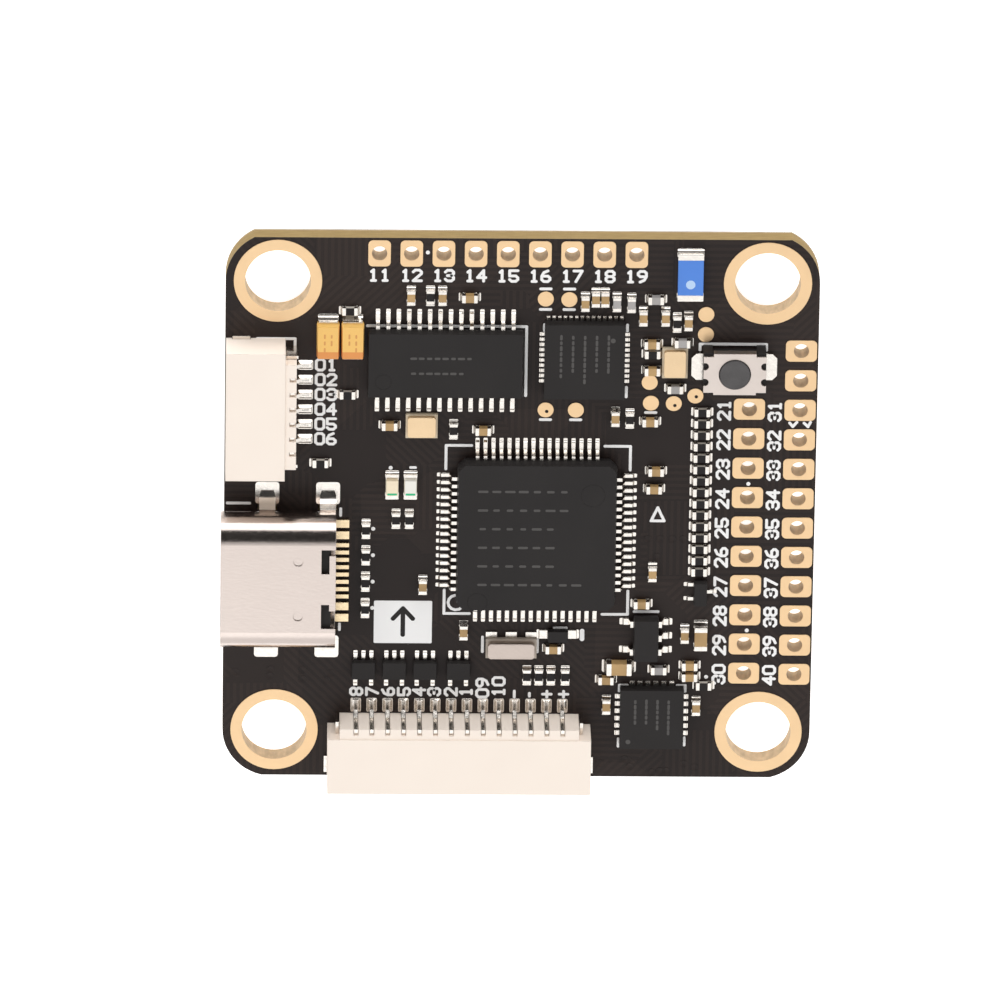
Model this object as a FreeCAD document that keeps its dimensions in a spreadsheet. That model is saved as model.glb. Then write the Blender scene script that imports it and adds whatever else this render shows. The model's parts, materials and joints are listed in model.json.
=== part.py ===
import FreeCAD, Part
import math
import os
import re

import Sketcher
from FreeCAD import Placement, Rotation, Vector

# Flight controller board for a 30.5 mm stack, in millimetres.
# The origin is the centre of the four mounting holes on the component face.
# +X points to the solder pad columns, +Y to the pad row, +Z out of the component face.

SIZES = {
    # board outline: corners are round about the mounting holes and cut by the flat ends
    "hole_pitch": 30.5,
    "corner_radius": 3.25,
    "top_land": 2.9,
    "bottom_land": 3.15,
    "board_thick": 1.4,
    # plated holes and solder pads
    "plating": 0.05,
    "barrel_gap": 0.01,
    "mount_bore": 4.1,
    "ring_outer": 5.5,
    "pad_bore": 0.95,
    "pad_pitch": 2.0,
    "pad_corner": 0.3,
    "row_pad_wide": 1.4,
    "row_pad_tall": 1.75,
    "row_inset": 1.02,
    "row_first": -8.95,
    "row_count": 9,
    "side_pad_wide": 1.95,
    "side_pad_tall": 1.42,
    "outer_inset": 1.07,
    "outer_first": 10.72,
    "outer_count": 12,
    "inner_inset": 4.24,
    "inner_first": 6.78,
    "inner_count": 10,
    "test_pad": 1.0,
    # USB-C receptacle, mouth over the left edge
    "usb_overhang": 0.2,
    "usb_place": -4.3,
    "usb_length": 7.2,
    "usb_wide": 8.94,
    "usb_tall": 3.2,
    "usb_wall": 0.28,
    "usb_corner": 1.5,
    "usb_gap": 0.03,
    "usb_leg_wide": 1.0,
    "usb_leg_drop": 1.2,
    "usb_leg_front": 2.9,
    "usb_leg_rear": 6.7,
    "usb_slot_gap": 0.12,
    "usb_window_wide": 1.63,
    "usb_window_long": 0.5,
    "usb_window_place": 1.86,
    "usb_window_depth": 6.3,
    "usb_latch_slit": 0.4,
    "usb_rear_slit": 1.2,
    "usb_dimple_place": 4.85,
    "usb_dimple_dia": 0.6,
    "usb_recess": 0.3,
    "usb_pins": 12,
    "usb_signal_tails": 8,
    "tongue_wide": 6.7,
    "tongue_thick": 0.7,
    "tongue_tip": 0.7,
    "tongue_root": 4.6,
    "tongue_clip": 0.5,
    "tongue_bury": 1.0,
    "usb_pin_pitch": 0.5,
    "usb_strip_wide": 0.26,
    "usb_strip_thick": 0.06,
    "usb_strip_inset": 0.4,
    "usb_tail_thick": 0.2,
    "usb_tail_reach": 0.85,
    # side-entry sockets, both of one family
    "pin_pitch": 1.0,
    "side_pins": 6,
    "main_pins": 14,
    "side_socket_inset": 0.05,
    "side_socket_place": 7.1,
    "main_socket_place": -3.62,
    "socket_overhang": 0.1,
    "socket_main_depth": 3.7,
    "socket_depth": 4.4,
    "socket_tall": 2.7,
    "socket_end": 1.78,
    "socket_ear": 0.75,
    "socket_top_wall": 0.5,
    "socket_floor": 0.5,
    "socket_side_wall": 0.62,
    "socket_cavity": 3.15,
    "socket_key": 0.3,
    "socket_key_foot": 0.85,
    "socket_key_tall": 0.7,
    "socket_lip": 0.08,
    "contact_thick": 0.24,
    "contact_leaf": 0.2,
    "contact_tail": 0.95,
    "contact_post": 1.35,
    "contact_tip": 0.8,
    "contact_rise": 2.4,
    "contact_gap": 0.03,
    "contact_heel": 0.3,
    "contact_bend": 0.5,
    "anchor_thick": 0.2,
    "anchor_foot": 1.1,
    "anchor_front": 0.4,
    "anchor_rise": 1.7,
    "anchor_gap": 0.05,
    "anchor_tab": 0.1,
    "cut_past": 1.0,
    # moulded chips: every case is drafted from its parting line
    "mould_draft": 7,
    "processor_place_x": 1.06,
    "processor_place_y": -1.52,
    "processor_wide": 10.0,
    "processor_tall": 1.4,
    "processor_corner": 0.45,
    "processor_pitch": 0.5,
    "processor_lead": 0.22,
    "processor_side": 16,
    "overlay_place_x": -4.78,
    "overlay_place_y": 9.95,
    "overlay_long": 9.7,
    "overlay_wide": 4.4,
    "overlay_tall": 1.0,
    "overlay_pitch": 0.65,
    "overlay_lead": 0.24,
    "overlay_side": 14,
    "small_case_corner": 0.06,
    "case_standoff": 0.08,
    "lead_thick": 0.14,
    "lead_reach": 1.0,
    "lead_shoulder": 0.32,
    "lead_knee": 0.2,
    "regulator_long": 2.9,
    "regulator_wide": 1.6,
    "regulator_tall": 1.1,
    "regulator_pitch": 0.95,
    "regulator_lead": 0.4,
    "regulator_reach": 0.6,
    "shifter_long": 1.5,
    "shifter_wide": 1.2,
    "shifter_tall": 0.6,
    "shifter_pitch": 0.5,
    "shifter_lead": 0.22,
    "transistor_long": 1.6,
    "transistor_wide": 0.85,
    "transistor_tall": 0.7,
    "transistor_pitch": 0.96,
    "flat_lead_thick": 0.14,
    "flat_lead_reach": 0.35,
    # leadless chips
    "radio_place_x": 3.9,
    "radio_place_y": 10.2,
    "radio_wide": 5.0,
    "radio_tall": 0.85,
    "radio_pitch": 0.35,
    "radio_ends": 10,
    "radio_rows": 14,
    "motion_place_x": 8.5,
    "motion_place_y": -14.1,
    "motion_wide": 4.0,
    "motion_tall": 0.9,
    "motion_pitch": 0.5,
    "motion_ends": 6,
    "motion_rows": 6,
    "leadless_toe": 0.22,
    "leadless_thick": 0.05,
    "leadless_share": 0.55,
    "flash_long": 6.0,
    "flash_wide": 5.0,
    "flash_tall": 0.8,
    "flash_pitch": 1.27,
    "flash_lead": 0.42,
    "flash_side": 4,
    # chip antenna beside the pad row
    "antenna_place": 10.42,
    "antenna_inset": 2.35,
    "antenna_long": 3.2,
    "antenna_wide": 1.6,
    "antenna_tall": 0.55,
    "antenna_cap": 0.42,
    # boot switch: a dome under a plunger, held by a sheet cover
    "switch_place_x": 13.25,
    "switch_place_y": 9.73,
    "switch_long": 3.9,
    "switch_wide": 2.75,
    "switch_floor": 0.35,
    "switch_base_tall": 1.36,
    "switch_cover_thick": 0.2,
    "switch_corner": 0.62,
    "switch_flange": 0.6,
    "switch_cover_front": 0.15,
    "switch_cover_rear": 0.2,
    "switch_notch": 0.24,
    "switch_notch_inset": 0.08,
    "switch_notch_step": 0.53,
    "plunger_dia": 1.9,
    "plunger_gap": 0.05,
    "plunger_head": 0.12,
    "plunger_collar": 0.15,
    "plunger_collar_tall": 0.3,
    "switch_travel": 0.2,
    "dome_spare": 0.15,
    "dome_thick": 0.06,
    "dome_gap": 0.04,
    "switch_lug_wide": 1.75,
    "switch_lug_reach": 0.72,
    "switch_lug_thick": 0.3,
    "switch_lug_round": 0.29,
    # two-terminal chips: a core between two end caps
    "small_long": 1.0,
    "small_wide": 0.5,
    "small_cap": 0.24,
    "small_thin": 0.35,
    "small_thick": 0.5,
    "large_long": 1.6,
    "large_wide": 0.8,
    "large_cap": 0.32,
    "large_thick": 0.75,
    "chip_round": 0.06,
    "chip_shy": 0.01,
    "ladder_pitch": 0.775,
    "ladder_count": 15,
    "tantalum_long": 2.25,
    "tantalum_wide": 1.42,
    "tantalum_tall": 1.2,
    "bulk_long": 3.5,
    "bulk_wide": 2.8,
    "strap_thick": 0.12,
    "strap_tall": 0.75,
    "strap_share": 0.85,
    "underside_tall": 1.9,
    "led_base_tall": 0.3,
    "led_tall": 0.62,
    "led_cap": 0.3,
    "led_shy": 0.04,
    "diode_long": 1.3,
    "diode_wide": 0.8,
    "diode_tall": 0.6,
    "diode_cap": 0.5,
    "diode_share": 0.7,
    # crystals and the resonator beside the processor
    "crystal_long": 2.0,
    "crystal_wide": 1.6,
    "crystal_base_tall": 0.3,
    "crystal_lid_tall": 0.25,
    "crystal_rim": 0.12,
    "resonator_place_x": -0.4,
    "resonator_place_y": -9.5,
    "resonator_long": 3.2,
    "resonator_wide": 1.3,
    "resonator_base_tall": 0.35,
    "resonator_lid_tall": 0.5,
    "resonator_rim": 0.14,
    "resonator_end": 0.7,
    "resonator_toe": 0.4,
    # underside power stage and pressure sensor
    "inductor_wide": 4.0,
    "sensor_long": 2.5,
    "sensor_wide": 2.0,
    "sensor_base_tall": 0.3,
    "sensor_lid_tall": 0.65,
    "sensor_rim": 0.1,
    "sensor_vent": 0.5,
}

# Places of the small pieces: x and y in millimetres and, where it matters, a turn in degrees.
# Names that begin with UNDER, and the converters, inductors, large tantalums, sensor and
# memory, lie on the underside.
SMALL_RESISTORS = [
    (-10.75, 13.3, 0), (-10.85, 7.65, 0), (-12.5, 3.0, 0), (-5.75, 14.3, 90), (-4.2, 5.3, 90),
    (-7.73, -0.8, 90), (-6.9, -0.8, 90), (-9.6, -1.5, 90), (-9.6, -3.3, 90), (-9.6, -5.1, 90),
    (-9.6, -6.9, 90), (9.65, 12.6, 90), (6.8, 6.1, 90), (8.15, 10.5, 0), (0.62, -11.45, 90),
    (1.37, -11.45, 90), (2.13, -11.45, 90), (3.03, -11.45, 90), (11.75, -12.05, 0),
]
LADDER_TOP = (11.32, 6.6)
SMALL_CAPACITORS = [
    (-6.95, 14.3, 90), (-5.0, 14.3, 90), (-3.3, 14.25, 0), (4.55, 14.25, 90), (5.13, 14.25, 90),
    (7.53, 13.0, 90), (8.92, 13.0, 90), (10.35, 12.7, 90), (8.1, 11.2, 0), (8.15, 9.4, 0),
    (-8.2, 5.6, 0), (-2.35, 5.3, 0), (5.9, 6.2, 90), (8.5, 2.6, 0), (-6.0, -5.3, 90),
    (-3.4, -8.4, 90), (8.4, -4.35, 90), (7.75, -6.45, 0), (2.25, -9.55, 0), (10.5, -8.55, 90),
    (5.6, -11.65, 0), (5.65, -13.45, 90), (10.85, -10.65, 0), (10.85, -11.4, 0), (11.3, -13.5, 90),
    (3.9, 13.95, 90), (8.07, 5.95, 0), (8.4, 1.4, 0),
]
LARGE_CAPACITORS = [(6.4, -10.75, 0), (11.5, -8.65, 90)]
BEADS = [(5.87, 13.95, 90), (6.78, 13.9, 90), (8.3, 14.2, 0), (10.0, 11.3, 0), (9.6, 8.2, 0),
         (8.9, -10.95, 0)]
UNDER_RESISTORS = [(-1.4, 9.0, 90), (-1.4, 10.6, 90), (6.0, 8.2, 90), (-7.0, 1.6, 0), (-7.0, 0.4, 0)]
UNDER_SMALL_CAPACITORS = [(-4.2, 7.2, 0), (3.2, 7.2, 0), (-9.5, -2.6, 0), (5.2, -1.0, 90), (6.2, -1.0, 90)]
UNDER_LARGE_CAPACITORS = [(-4.2, 12.6, 0), (3.2, 12.6, 0), (-1.2, 13.0, 90), (6.0, 12.6, 90)]
INDUCTORS = [(-9.2, 9.3, 0), (9.2, 9.3, 0)]
SMALL_TANTALUMS = [(-12.1, 11.53, 90), (-10.57, 11.53, 90)]
BULK_TANTALUMS = [(-8.5, -10.5, 0), (7.0, -10.5, 0)]
INDICATORS = [(-8.0, 1.5, 90), (-6.85, 1.5, 90)]
CRYSTALS = [(-6.2, 5.6, 0), (9.55, 9.95, 90)]
DIODE = (2.52, -8.6, 0)
PRESSURE_SENSOR = (-9.5, -0.2, 0)
FLASH_PLACE = (0.5, -1.0)
TOP_REGULATOR = (8.05, -8.65)
CONVERTERS = [(-4.2, 9.6), (3.2, 9.6)]
SHIFTERS = [(-9.67, -11.0), (-7.73, -11.0), (-5.8, -11.0), (-3.7, -11.0)]
TRANSISTOR = (11.42, -5.62)
TEST_PADS = [(1.43, 14.13), (2.9, 14.1), (1.53, 6.65), (3.42, 6.65), (8.0, 8.55),
             (8.1, 7.15), (9.53, 7.13), (10.87, 7.65), (11.45, 13.15), (11.45, 11.8)]

SIDE_EDGE = "(hole_pitch / 2 + corner_radius)"
TOP_EDGE = "(hole_pitch / 2 + top_land)"
BOTTOM_EDGE = "(hole_pitch / 2 + bottom_land)"

doc = FreeCAD.newDocument("FlightController")
sheet = doc.addObject("Spreadsheet::Sheet", "Sizes")
for row, (alias, number) in enumerate(SIZES.items(), start=1):
    sheet.set(f"A{row}", alias)
    sheet.set(f"B{row}", str(number))
    sheet.setAlias(f"B{row}", alias)
doc.recompute()


# ---------------------------------------------------------------- helpers

def size(alias):
    """One driving dimension, read from the sheet."""
    return float(sheet.get(alias))


def formula(text):
    """An expression in which every alias points at its cell."""
    return re.sub(r"[a-z_]+", lambda word: "Sizes." + word[0] if word[0] in SIZES else word[0], text)


def bind(item, **formulas):
    """Bind properties of an object; a double underscore in a name stands for a dot."""
    for name, text in formulas.items():
        item.setExpression(name.replace("__", "."), formula(str(text)))


def new_body(name):
    return doc.addObject("PartDesign::Body", name)


def place(item, node, x, y, lift="0"):
    """Label a finished piece as a node and bind its place on the board."""
    item.Label = node
    bind(item, Placement__Base__x=x, Placement__Base__y=y, Placement__Base__z=lift)


def turn(item, degrees):
    item.Placement = Placement(item.Placement.Base, Rotation(Vector(0, 0, 1), degrees))


def sketch_on(body, name, plane, lift):
    """Empty sketch on one of the body's own planes, lifted along its normal."""
    sketch = body.newObject("Sketcher::SketchObject", name)
    support = next(f for f in body.Origin.OriginFeatures if f.Role == plane + "_Plane")
    sketch.AttachmentSupport = (support, [""])
    sketch.MapMode = "FlatFace"
    bind(sketch, AttachmentOffset__Base__z=lift)
    return sketch


def pin(sketch, kind, geometry, position, text):
    """Fix one coordinate of a sketch point, measured from the sketch's origin."""
    start = float(sketch.evalExpression(formula(text)))
    index = sketch.addConstraint(Sketcher.Constraint(kind, -1, 1, geometry, position, start))
    sketch.setExpression(f"Constraints[{index}]", formula(text))


def pin_point(sketch, geometry, position, x, y):
    """Fix one point of a sketch at a pair of formulas."""
    pin(sketch, "DistanceX", geometry, position, str(x))
    pin(sketch, "DistanceY", geometry, position, str(y))


def outline(body, name, *loops, plane="XY", lift="0"):
    """Sketch of closed straight-sided loops, each a list of formula pairs."""
    sketch = sketch_on(body, name, plane, lift)
    for loop in loops:
        first = sketch.GeometryCount
        count = len(loop)
        corners = [Vector(1, 0, 0)] * count
        corners = [Rotation(Vector(0, 0, 1), 360.0 * i / count).multVec(c) for i, c in enumerate(corners)]
        for i in range(count):
            sketch.addGeometry(Part.LineSegment(corners[i], corners[(i + 1) % count]), False)
        for i, (x, y) in enumerate(loop):
            following = first + (i + 1) % count
            sketch.addConstraint(Sketcher.Constraint("Coincident", first + i, 2, following, 1))
            pin_point(sketch, first + i, 1, x, y)
    return sketch


def circles(body, name, places, radius, plane="XY", lift="0"):
    """Sketch of equal circles at formula pairs."""
    sketch = sketch_on(body, name, plane, lift)
    for i, (x, y) in enumerate(places):
        sketch.addGeometry(Part.Circle(Vector(i, i, 0), Vector(0, 0, 1), 1.0), False)
        pin_point(sketch, i, 3, x, y)
        index = sketch.addConstraint(Sketcher.Constraint("Radius", i, 1.0))
        sketch.setExpression(f"Constraints[{index}]", formula(radius))
    return sketch


def box_loop(x0, x1, y0, y1):
    return [(x0, y0), (x1, y0), (x1, y1), (x0, y1)]


def middle_loop(long, wide):
    """Rectangle centred on the sketch's origin."""
    return box_loop(f"-({long}) / 2", f"({long}) / 2", f"-({wide}) / 2", f"({wide}) / 2")


def clipped_loop(long, wide, corner):
    """Centred rectangle with its four corners cut at 45 degrees."""
    x, y, cut = f"({long}) / 2", f"({wide}) / 2", f"({corner})"
    return [(f"{x} - {cut}", f"-{y}"), (x, f"-{y} + {cut}"), (x, f"{y} - {cut}"), (f"{x} - {cut}", y),
            (f"-{x} + {cut}", y), (f"-{x}", f"{y} - {cut}"), (f"-{x}", f"-{y} + {cut}"),
            (f"-{x} + {cut}", f"-{y}")]


def pad(body, sketch, length, away=False, both_sides=False, draft=None):
    """Raise a sketch; away turns it against the sketch's normal."""
    feature = body.newObject("PartDesign::Pad", sketch.Name + "Pad")
    feature.Profile = sketch
    feature.Reversed = away
    feature.Midplane = both_sides
    bind(feature, Length=length)
    if draft:
        bind(feature, TaperAngle=f"-{draft}")
    return feature


def pocket(body, sketch, length=None, away=False):
    """Cut a sketch; without a length the cut goes right through."""
    feature = body.newObject("PartDesign::Pocket", sketch.Name + "Pocket")
    feature.Profile = sketch
    feature.Reversed = away
    if length:
        bind(feature, Length=length)
    else:
        feature.Type = "ThroughAll"
    return feature


def repeat(body, originals, axis, pitch, count):
    """Linear pattern along one axis of the first feature's sketch."""
    feature = body.newObject("PartDesign::LinearPattern", originals[0].Name + "Row")
    feature.Originals = originals
    feature.Direction = (originals[0].Profile[0], [axis])
    bind(feature, Length=f"({pitch}) * ({count} - 1)", Occurrences=count)
    body.Tip = feature
    return feature


def round_edges(body, base, radius, chosen):
    """Fillet the edges of the last feature that the test picks."""
    doc.recompute()
    names = [f"Edge{i}" for i, edge in enumerate(base.Shape.Edges, start=1) if chosen(edge)]
    feature = body.newObject("PartDesign::Fillet", base.Name + "Round")
    feature.Base = (base, names)
    bind(feature, Radius=radius)
    return feature


def hollow_out(body, wall):
    """Turn the last feature into a tube along X, its wall grown inwards."""
    doc.recompute()
    base = body.Tip
    ends = [f"Face{i}" for i, face in enumerate(base.Shape.Faces, start=1) if face.BoundBox.XLength < 1e-4]
    feature = body.newObject("PartDesign::Thickness", base.Name + "Tube")
    feature.Base = (base, ends)
    feature.Reversed = True
    bind(feature, Value=wall)
    return feature


def runs_along(edge, axis):
    """True for a straight edge parallel to an axis given as 'x', 'y' or 'z'."""
    box = edge.BoundBox
    spans = {"x": box.XLength, "y": box.YLength, "z": box.ZLength}
    return spans.pop(axis) > 1e-4 and max(spans.values()) < 1e-4


def at(x, y, z=0.0, degrees=0.0):
    """Place on the component face."""
    return Placement(Vector(x, y, z), Rotation(Vector(0, 0, 1), degrees))


def under(x, y, degrees=0.0):
    """Place on the underside, the piece turned over about X."""
    over = Rotation(Vector(0, 0, 1), degrees).multiply(Rotation(Vector(1, 0, 0), 180))
    return Placement(Vector(x, y, -size("board_thick")), over)


def even_steps(count, pitch):
    """Offsets of a centred row; the count is the alias of a driving dimension."""
    number = int(size(count))
    return [pitch * (i - (number - 1) / 2) for i in range(number)]


def copies(template, spots):
    """Separate copies of a template's solid, one at each spot."""
    doc.recompute()
    return [template.Shape.transformed(spot.toMatrix(), copy=True) for spot in spots]


def group(node, solids):
    """One node that holds many small pieces of a kind."""
    feature = doc.addObject("Part::Feature", node)
    feature.Label = node
    feature.Shape = Part.makeCompound(solids)
    return feature


def block(name, long, wide, tall, x="0", y="0", z="0"):
    """Part box centred over a point and standing on it."""
    box = doc.addObject("Part::Box", name)
    bind(box, Length=long, Width=wide, Height=tall)
    bind(box, Placement__Base__x=f"{x} - ({long}) / 2", Placement__Base__y=f"{y} - ({wide}) / 2",
         Placement__Base__z=z)
    return box


# ---------------------------------------------------------------- circuit board

def circuit_board():
    """Bare board with its mounting holes, pad holes and slots for the USB shell's legs."""
    body = new_body("Board")
    sketch = sketch_on(body, "Outline", "XY", "0")
    # corner arcs run anticlockwise, each from its start to its end; an end that lies on a side
    # edge is level with the hole, the other is cut off at the top or bottom edge
    reach, radius = size("hole_pitch") / 2, size("corner_radius")
    upper = math.asin(size("top_land") / radius)
    lower = math.asin(size("bottom_land") / radius)
    corners = [
        (1, 1, 0, upper, TOP_EDGE),
        (-1, 1, math.pi - upper, math.pi, TOP_EDGE),
        (-1, -1, math.pi, math.pi + lower, "-" + BOTTOM_EDGE),
        (1, -1, 2 * math.pi - lower, 2 * math.pi, "-" + BOTTOM_EDGE),
    ]
    for across, up, start, end, _ in corners:
        circle = Part.Circle(Vector(across * reach, up * reach, 0), Vector(0, 0, 1), radius)
        sketch.addGeometry(Part.ArcOfCircle(circle, start, end), False)
    for corner in range(4):
        tail, head = sketch.Geometry[corner], sketch.Geometry[(corner + 1) % 4]
        sketch.addGeometry(Part.LineSegment(tail.EndPoint, head.StartPoint), False)
    for corner, (across, up, _, _, edge) in enumerate(corners):
        level_end, cut_end = (1, 2) if across == up else (2, 1)
        pin_point(sketch, corner, 3, f"{across} * hole_pitch / 2", f"{up} * hole_pitch / 2")
        pin_point(sketch, corner, level_end, f"{across} * {SIDE_EDGE}", f"{up} * hole_pitch / 2")
        pin(sketch, "DistanceY", corner, cut_end, edge)
        sketch.addConstraint(Sketcher.Constraint("Coincident", corner, 2, corner + 4, 1))
        sketch.addConstraint(Sketcher.Constraint("Coincident", corner + 4, 2, (corner + 1) % 4, 1))
    pad(body, sketch, "board_thick", away=True)

    holes = [(f"{across} * hole_pitch / 2", f"{up} * hole_pitch / 2") for across in (-1, 1) for up in (-1, 1)]
    mounts = circles(body, "MountHoles", holes, "mount_bore / 2 + plating + barrel_gap")
    pocket(body, mounts)

    drill = "pad_bore / 2 + plating + barrel_gap"
    rows = {
        "TopRow": ("row_first", f"{TOP_EDGE} - row_inset", "H_Axis", "row_count", False),
        "OuterColumn": (f"{SIDE_EDGE} - outer_inset", "outer_first", "V_Axis", "outer_count", True),
        "InnerColumn": (f"{SIDE_EDGE} - inner_inset", "inner_first", "V_Axis", "inner_count", True),
    }
    for name, (x, y, axis, count, downwards) in rows.items():
        hole = pocket(body, circles(body, name, [(x, y)], drill))
        row = repeat(body, [hole], axis, "pad_pitch", count)
        row.Reversed = downwards

    legs = outline(body, "LegSlots", *usb_leg_loops("usb_slot_gap"))
    bind(legs, AttachmentOffset__Base__x=f"-{SIDE_EDGE} - usb_overhang",
         AttachmentOffset__Base__y="usb_place")
    pocket(body, legs)
    body.Label = "circuit_board"
    return body


def usb_window_loop(side, slit):
    """Corners of a window in the shell's top, with a slit from its outer end out to the rear edge."""
    inner = f"{side}(usb_window_place - usb_window_wide / 2)"
    outer = f"{side}(usb_window_place + usb_window_wide / 2)"
    step = f"{side}(usb_window_place + usb_window_wide / 2 - {slit})"
    front, rear, past = "usb_window_depth", "usb_window_depth + usb_window_long", "usb_length + usb_wall"
    return [(front, inner), (rear, inner), (rear, step), (past, step), (past, outer), (front, outer)]


def usb_leg_loops(gap):
    """The four legs of the USB shell in plan, each grown by a gap."""
    loops = []
    for middle in ("usb_leg_front", "usb_leg_rear"):
        for side in ("", "-"):
            inner, outer = f"{side}(usb_wide / 2 - usb_wall - {gap})", f"{side}(usb_wide / 2 + {gap})"
            x0 = f"{middle} - usb_leg_wide / 2 - {gap}"
            x1 = f"{middle} + usb_leg_wide / 2 + {gap}"
            loops.append(box_loop(x0, x1, inner, outer))
    return loops


def mounting_rings():
    """Plated rings: a barrel through the board and a collar on each face."""
    body = new_body("Ring")
    barrel = circles(body, "RingBarrel", [(0, 0)], "mount_bore / 2 + plating")
    pad(body, barrel, "board_thick", away=True)
    pad(body, circles(body, "RingTop", [(0, 0)], "ring_outer / 2"), "plating")
    low = circles(body, "RingUnder", [(0, 0)], "ring_outer / 2", lift="-board_thick")
    pad(body, low, "plating", away=True)
    bore = circles(body, "RingBore", [(0, 0)], "mount_bore / 2", lift="plating")
    pocket(body, bore)
    reach = size("hole_pitch") / 2
    group("mounting_rings", copies(body, [at(sx * reach, sy * reach) for sx in (-1, 1) for sy in (-1, 1)]))


def plated_pad(name, wide, tall):
    """Template of one solder pad: a rounded land on both faces, joined by a plated barrel."""
    body = new_body(name)
    barrel = circles(body, name + "Barrel", [(0, 0)], "pad_bore / 2 + plating")
    pad(body, barrel, "board_thick", away=True)
    pad(body, outline(body, name + "Top", middle_loop(wide, tall)), "plating")
    low = outline(body, name + "Under", middle_loop(wide, tall), lift="-board_thick")
    land = pad(body, low, "plating", away=True)
    round_edges(body, land, "pad_corner", lambda e: runs_along(e, "z") and e.Length < 2 * size("plating"))
    pocket(body, circles(body, name + "Bore", [(0, 0)], "pad_bore / 2", lift="plating"))
    return body


def solder_pads():
    """The pad row at the top edge, the two columns at the right edge and the round test pads."""
    pitch = size("pad_pitch")
    row_y = size("hole_pitch") / 2 + size("top_land") - size("row_inset")
    row = plated_pad("RowPad", "row_pad_wide", "row_pad_tall")
    spots = [at(size("row_first") + pitch * i, row_y) for i in range(int(size("row_count")))]
    group("top_row_pads", copies(row, spots))

    edge = size("hole_pitch") / 2 + size("corner_radius")
    column = plated_pad("SidePad", "side_pad_wide", "side_pad_tall")
    spots = []
    for side in ("outer", "inner"):
        x = edge - size(side + "_inset")
        first, count = size(side + "_first"), int(size(side + "_count"))
        spots += [at(x, first - pitch * i) for i in range(count)]
    group("side_column_pads", copies(column, spots))

    disc = doc.addObject("Part::Cylinder", "TestPad")
    bind(disc, Radius="test_pad / 2", Height="plating")
    group("test_pads", copies(disc, [at(x, y) for x, y in TEST_PADS]))


# ---------------------------------------------------------------- USB-C receptacle

def usb_receptacle():
    """Shell, moulded tongue and contacts, with x from the mouth towards the board's middle."""
    x, y = f"-{SIDE_EDGE} - usb_overhang", "usb_place"

    shell = new_body("UsbShell")
    tube = pad(shell, outline(shell, "Tube", box_loop("-usb_wide / 2", "usb_wide / 2", 0, "usb_tall"),
                              plane="YZ"), "usb_length")
    round_edges(shell, tube, "usb_corner", lambda e: runs_along(e, "x"))
    hollow_out(shell, "usb_wall")
    legs = outline(shell, "Legs", *usb_leg_loops("0"), lift="usb_tall / 2")
    pad(shell, legs, "usb_tall / 2 + usb_leg_drop", away=True)
    windows = [usb_window_loop("", "usb_latch_slit"), usb_window_loop("-", "usb_rear_slit")]
    pocket(shell, outline(shell, "Windows", *windows, lift="usb_tall"), "usb_wall * 1.5")
    dimples = [("usb_dimple_place", f"{side}usb_window_place") for side in ("", "-")]
    pocket(shell, circles(shell, "Dimples", dimples, "usb_dimple_dia / 2", lift="usb_tall"), "usb_wall / 3")
    place(shell, "usb_shell", x, y)

    tongue = new_body("UsbTongue")
    gap = "(usb_wall + usb_gap)"
    section = box_loop(f"-usb_wide / 2 + {gap}", f"usb_wide / 2 - {gap}", gap, f"usb_tall - {gap}")
    stop = pad(tongue, outline(tongue, "Stop", section, plane="YZ", lift="tongue_root"),
               "usb_length - usb_recess - tongue_root")
    round_edges(tongue, stop, f"usb_corner - {gap}", lambda e: runs_along(e, "x"))
    plan = clipped_loop("tongue_root - tongue_tip + tongue_bury", "tongue_wide", "tongue_clip")
    blade = outline(tongue, "Blade", plan, lift="usb_tall / 2")
    bind(blade, AttachmentOffset__Base__x="(tongue_root + tongue_tip + tongue_bury) / 2")
    pad(tongue, blade, "tongue_thick", both_sides=True)
    place(tongue, "usb_tongue", x, y)

    strip = block("UsbStrip", "tongue_root - tongue_tip - usb_strip_inset", "usb_strip_wide",
                  "usb_strip_thick", x="(tongue_root + tongue_tip + usb_strip_inset) / 2")
    tail = block("UsbTail", "usb_tail_reach", "usb_strip_wide", "usb_tail_thick", x="usb_tail_reach / 2")
    power_tail = block("UsbPowerTail", "usb_tail_reach", "usb_strip_wide * 2", "usb_tail_thick",
                       x="usb_tail_reach / 2")
    pitch = size("usb_pin_pitch")
    middle, half = size("usb_tall") / 2, size("tongue_thick") / 2
    mouth = -(size("hole_pitch") / 2 + size("corner_radius") + size("usb_overhang"))

    def from_mouth(depth, side, height):
        return at(mouth + depth, size("usb_place") + side, height)

    solids = []
    for height in (middle + half, middle - half - size("usb_strip_thick")):
        solids += copies(strip, [from_mouth(0, step, height) for step in even_steps("usb_pins", pitch)])
    rear = size("usb_length")
    solids += copies(tail, [from_mouth(rear, step, 0) for step in even_steps("usb_signal_tails", pitch)])
    power_steps = [side * pitch * number for side in (-1, 1) for number in (4.85, 6.4)]
    solids += copies(power_tail, [from_mouth(rear, step, 0) for step in power_steps])
    group("usb_contacts", solids)


# ---------------------------------------------------------------- side-entry sockets

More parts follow.
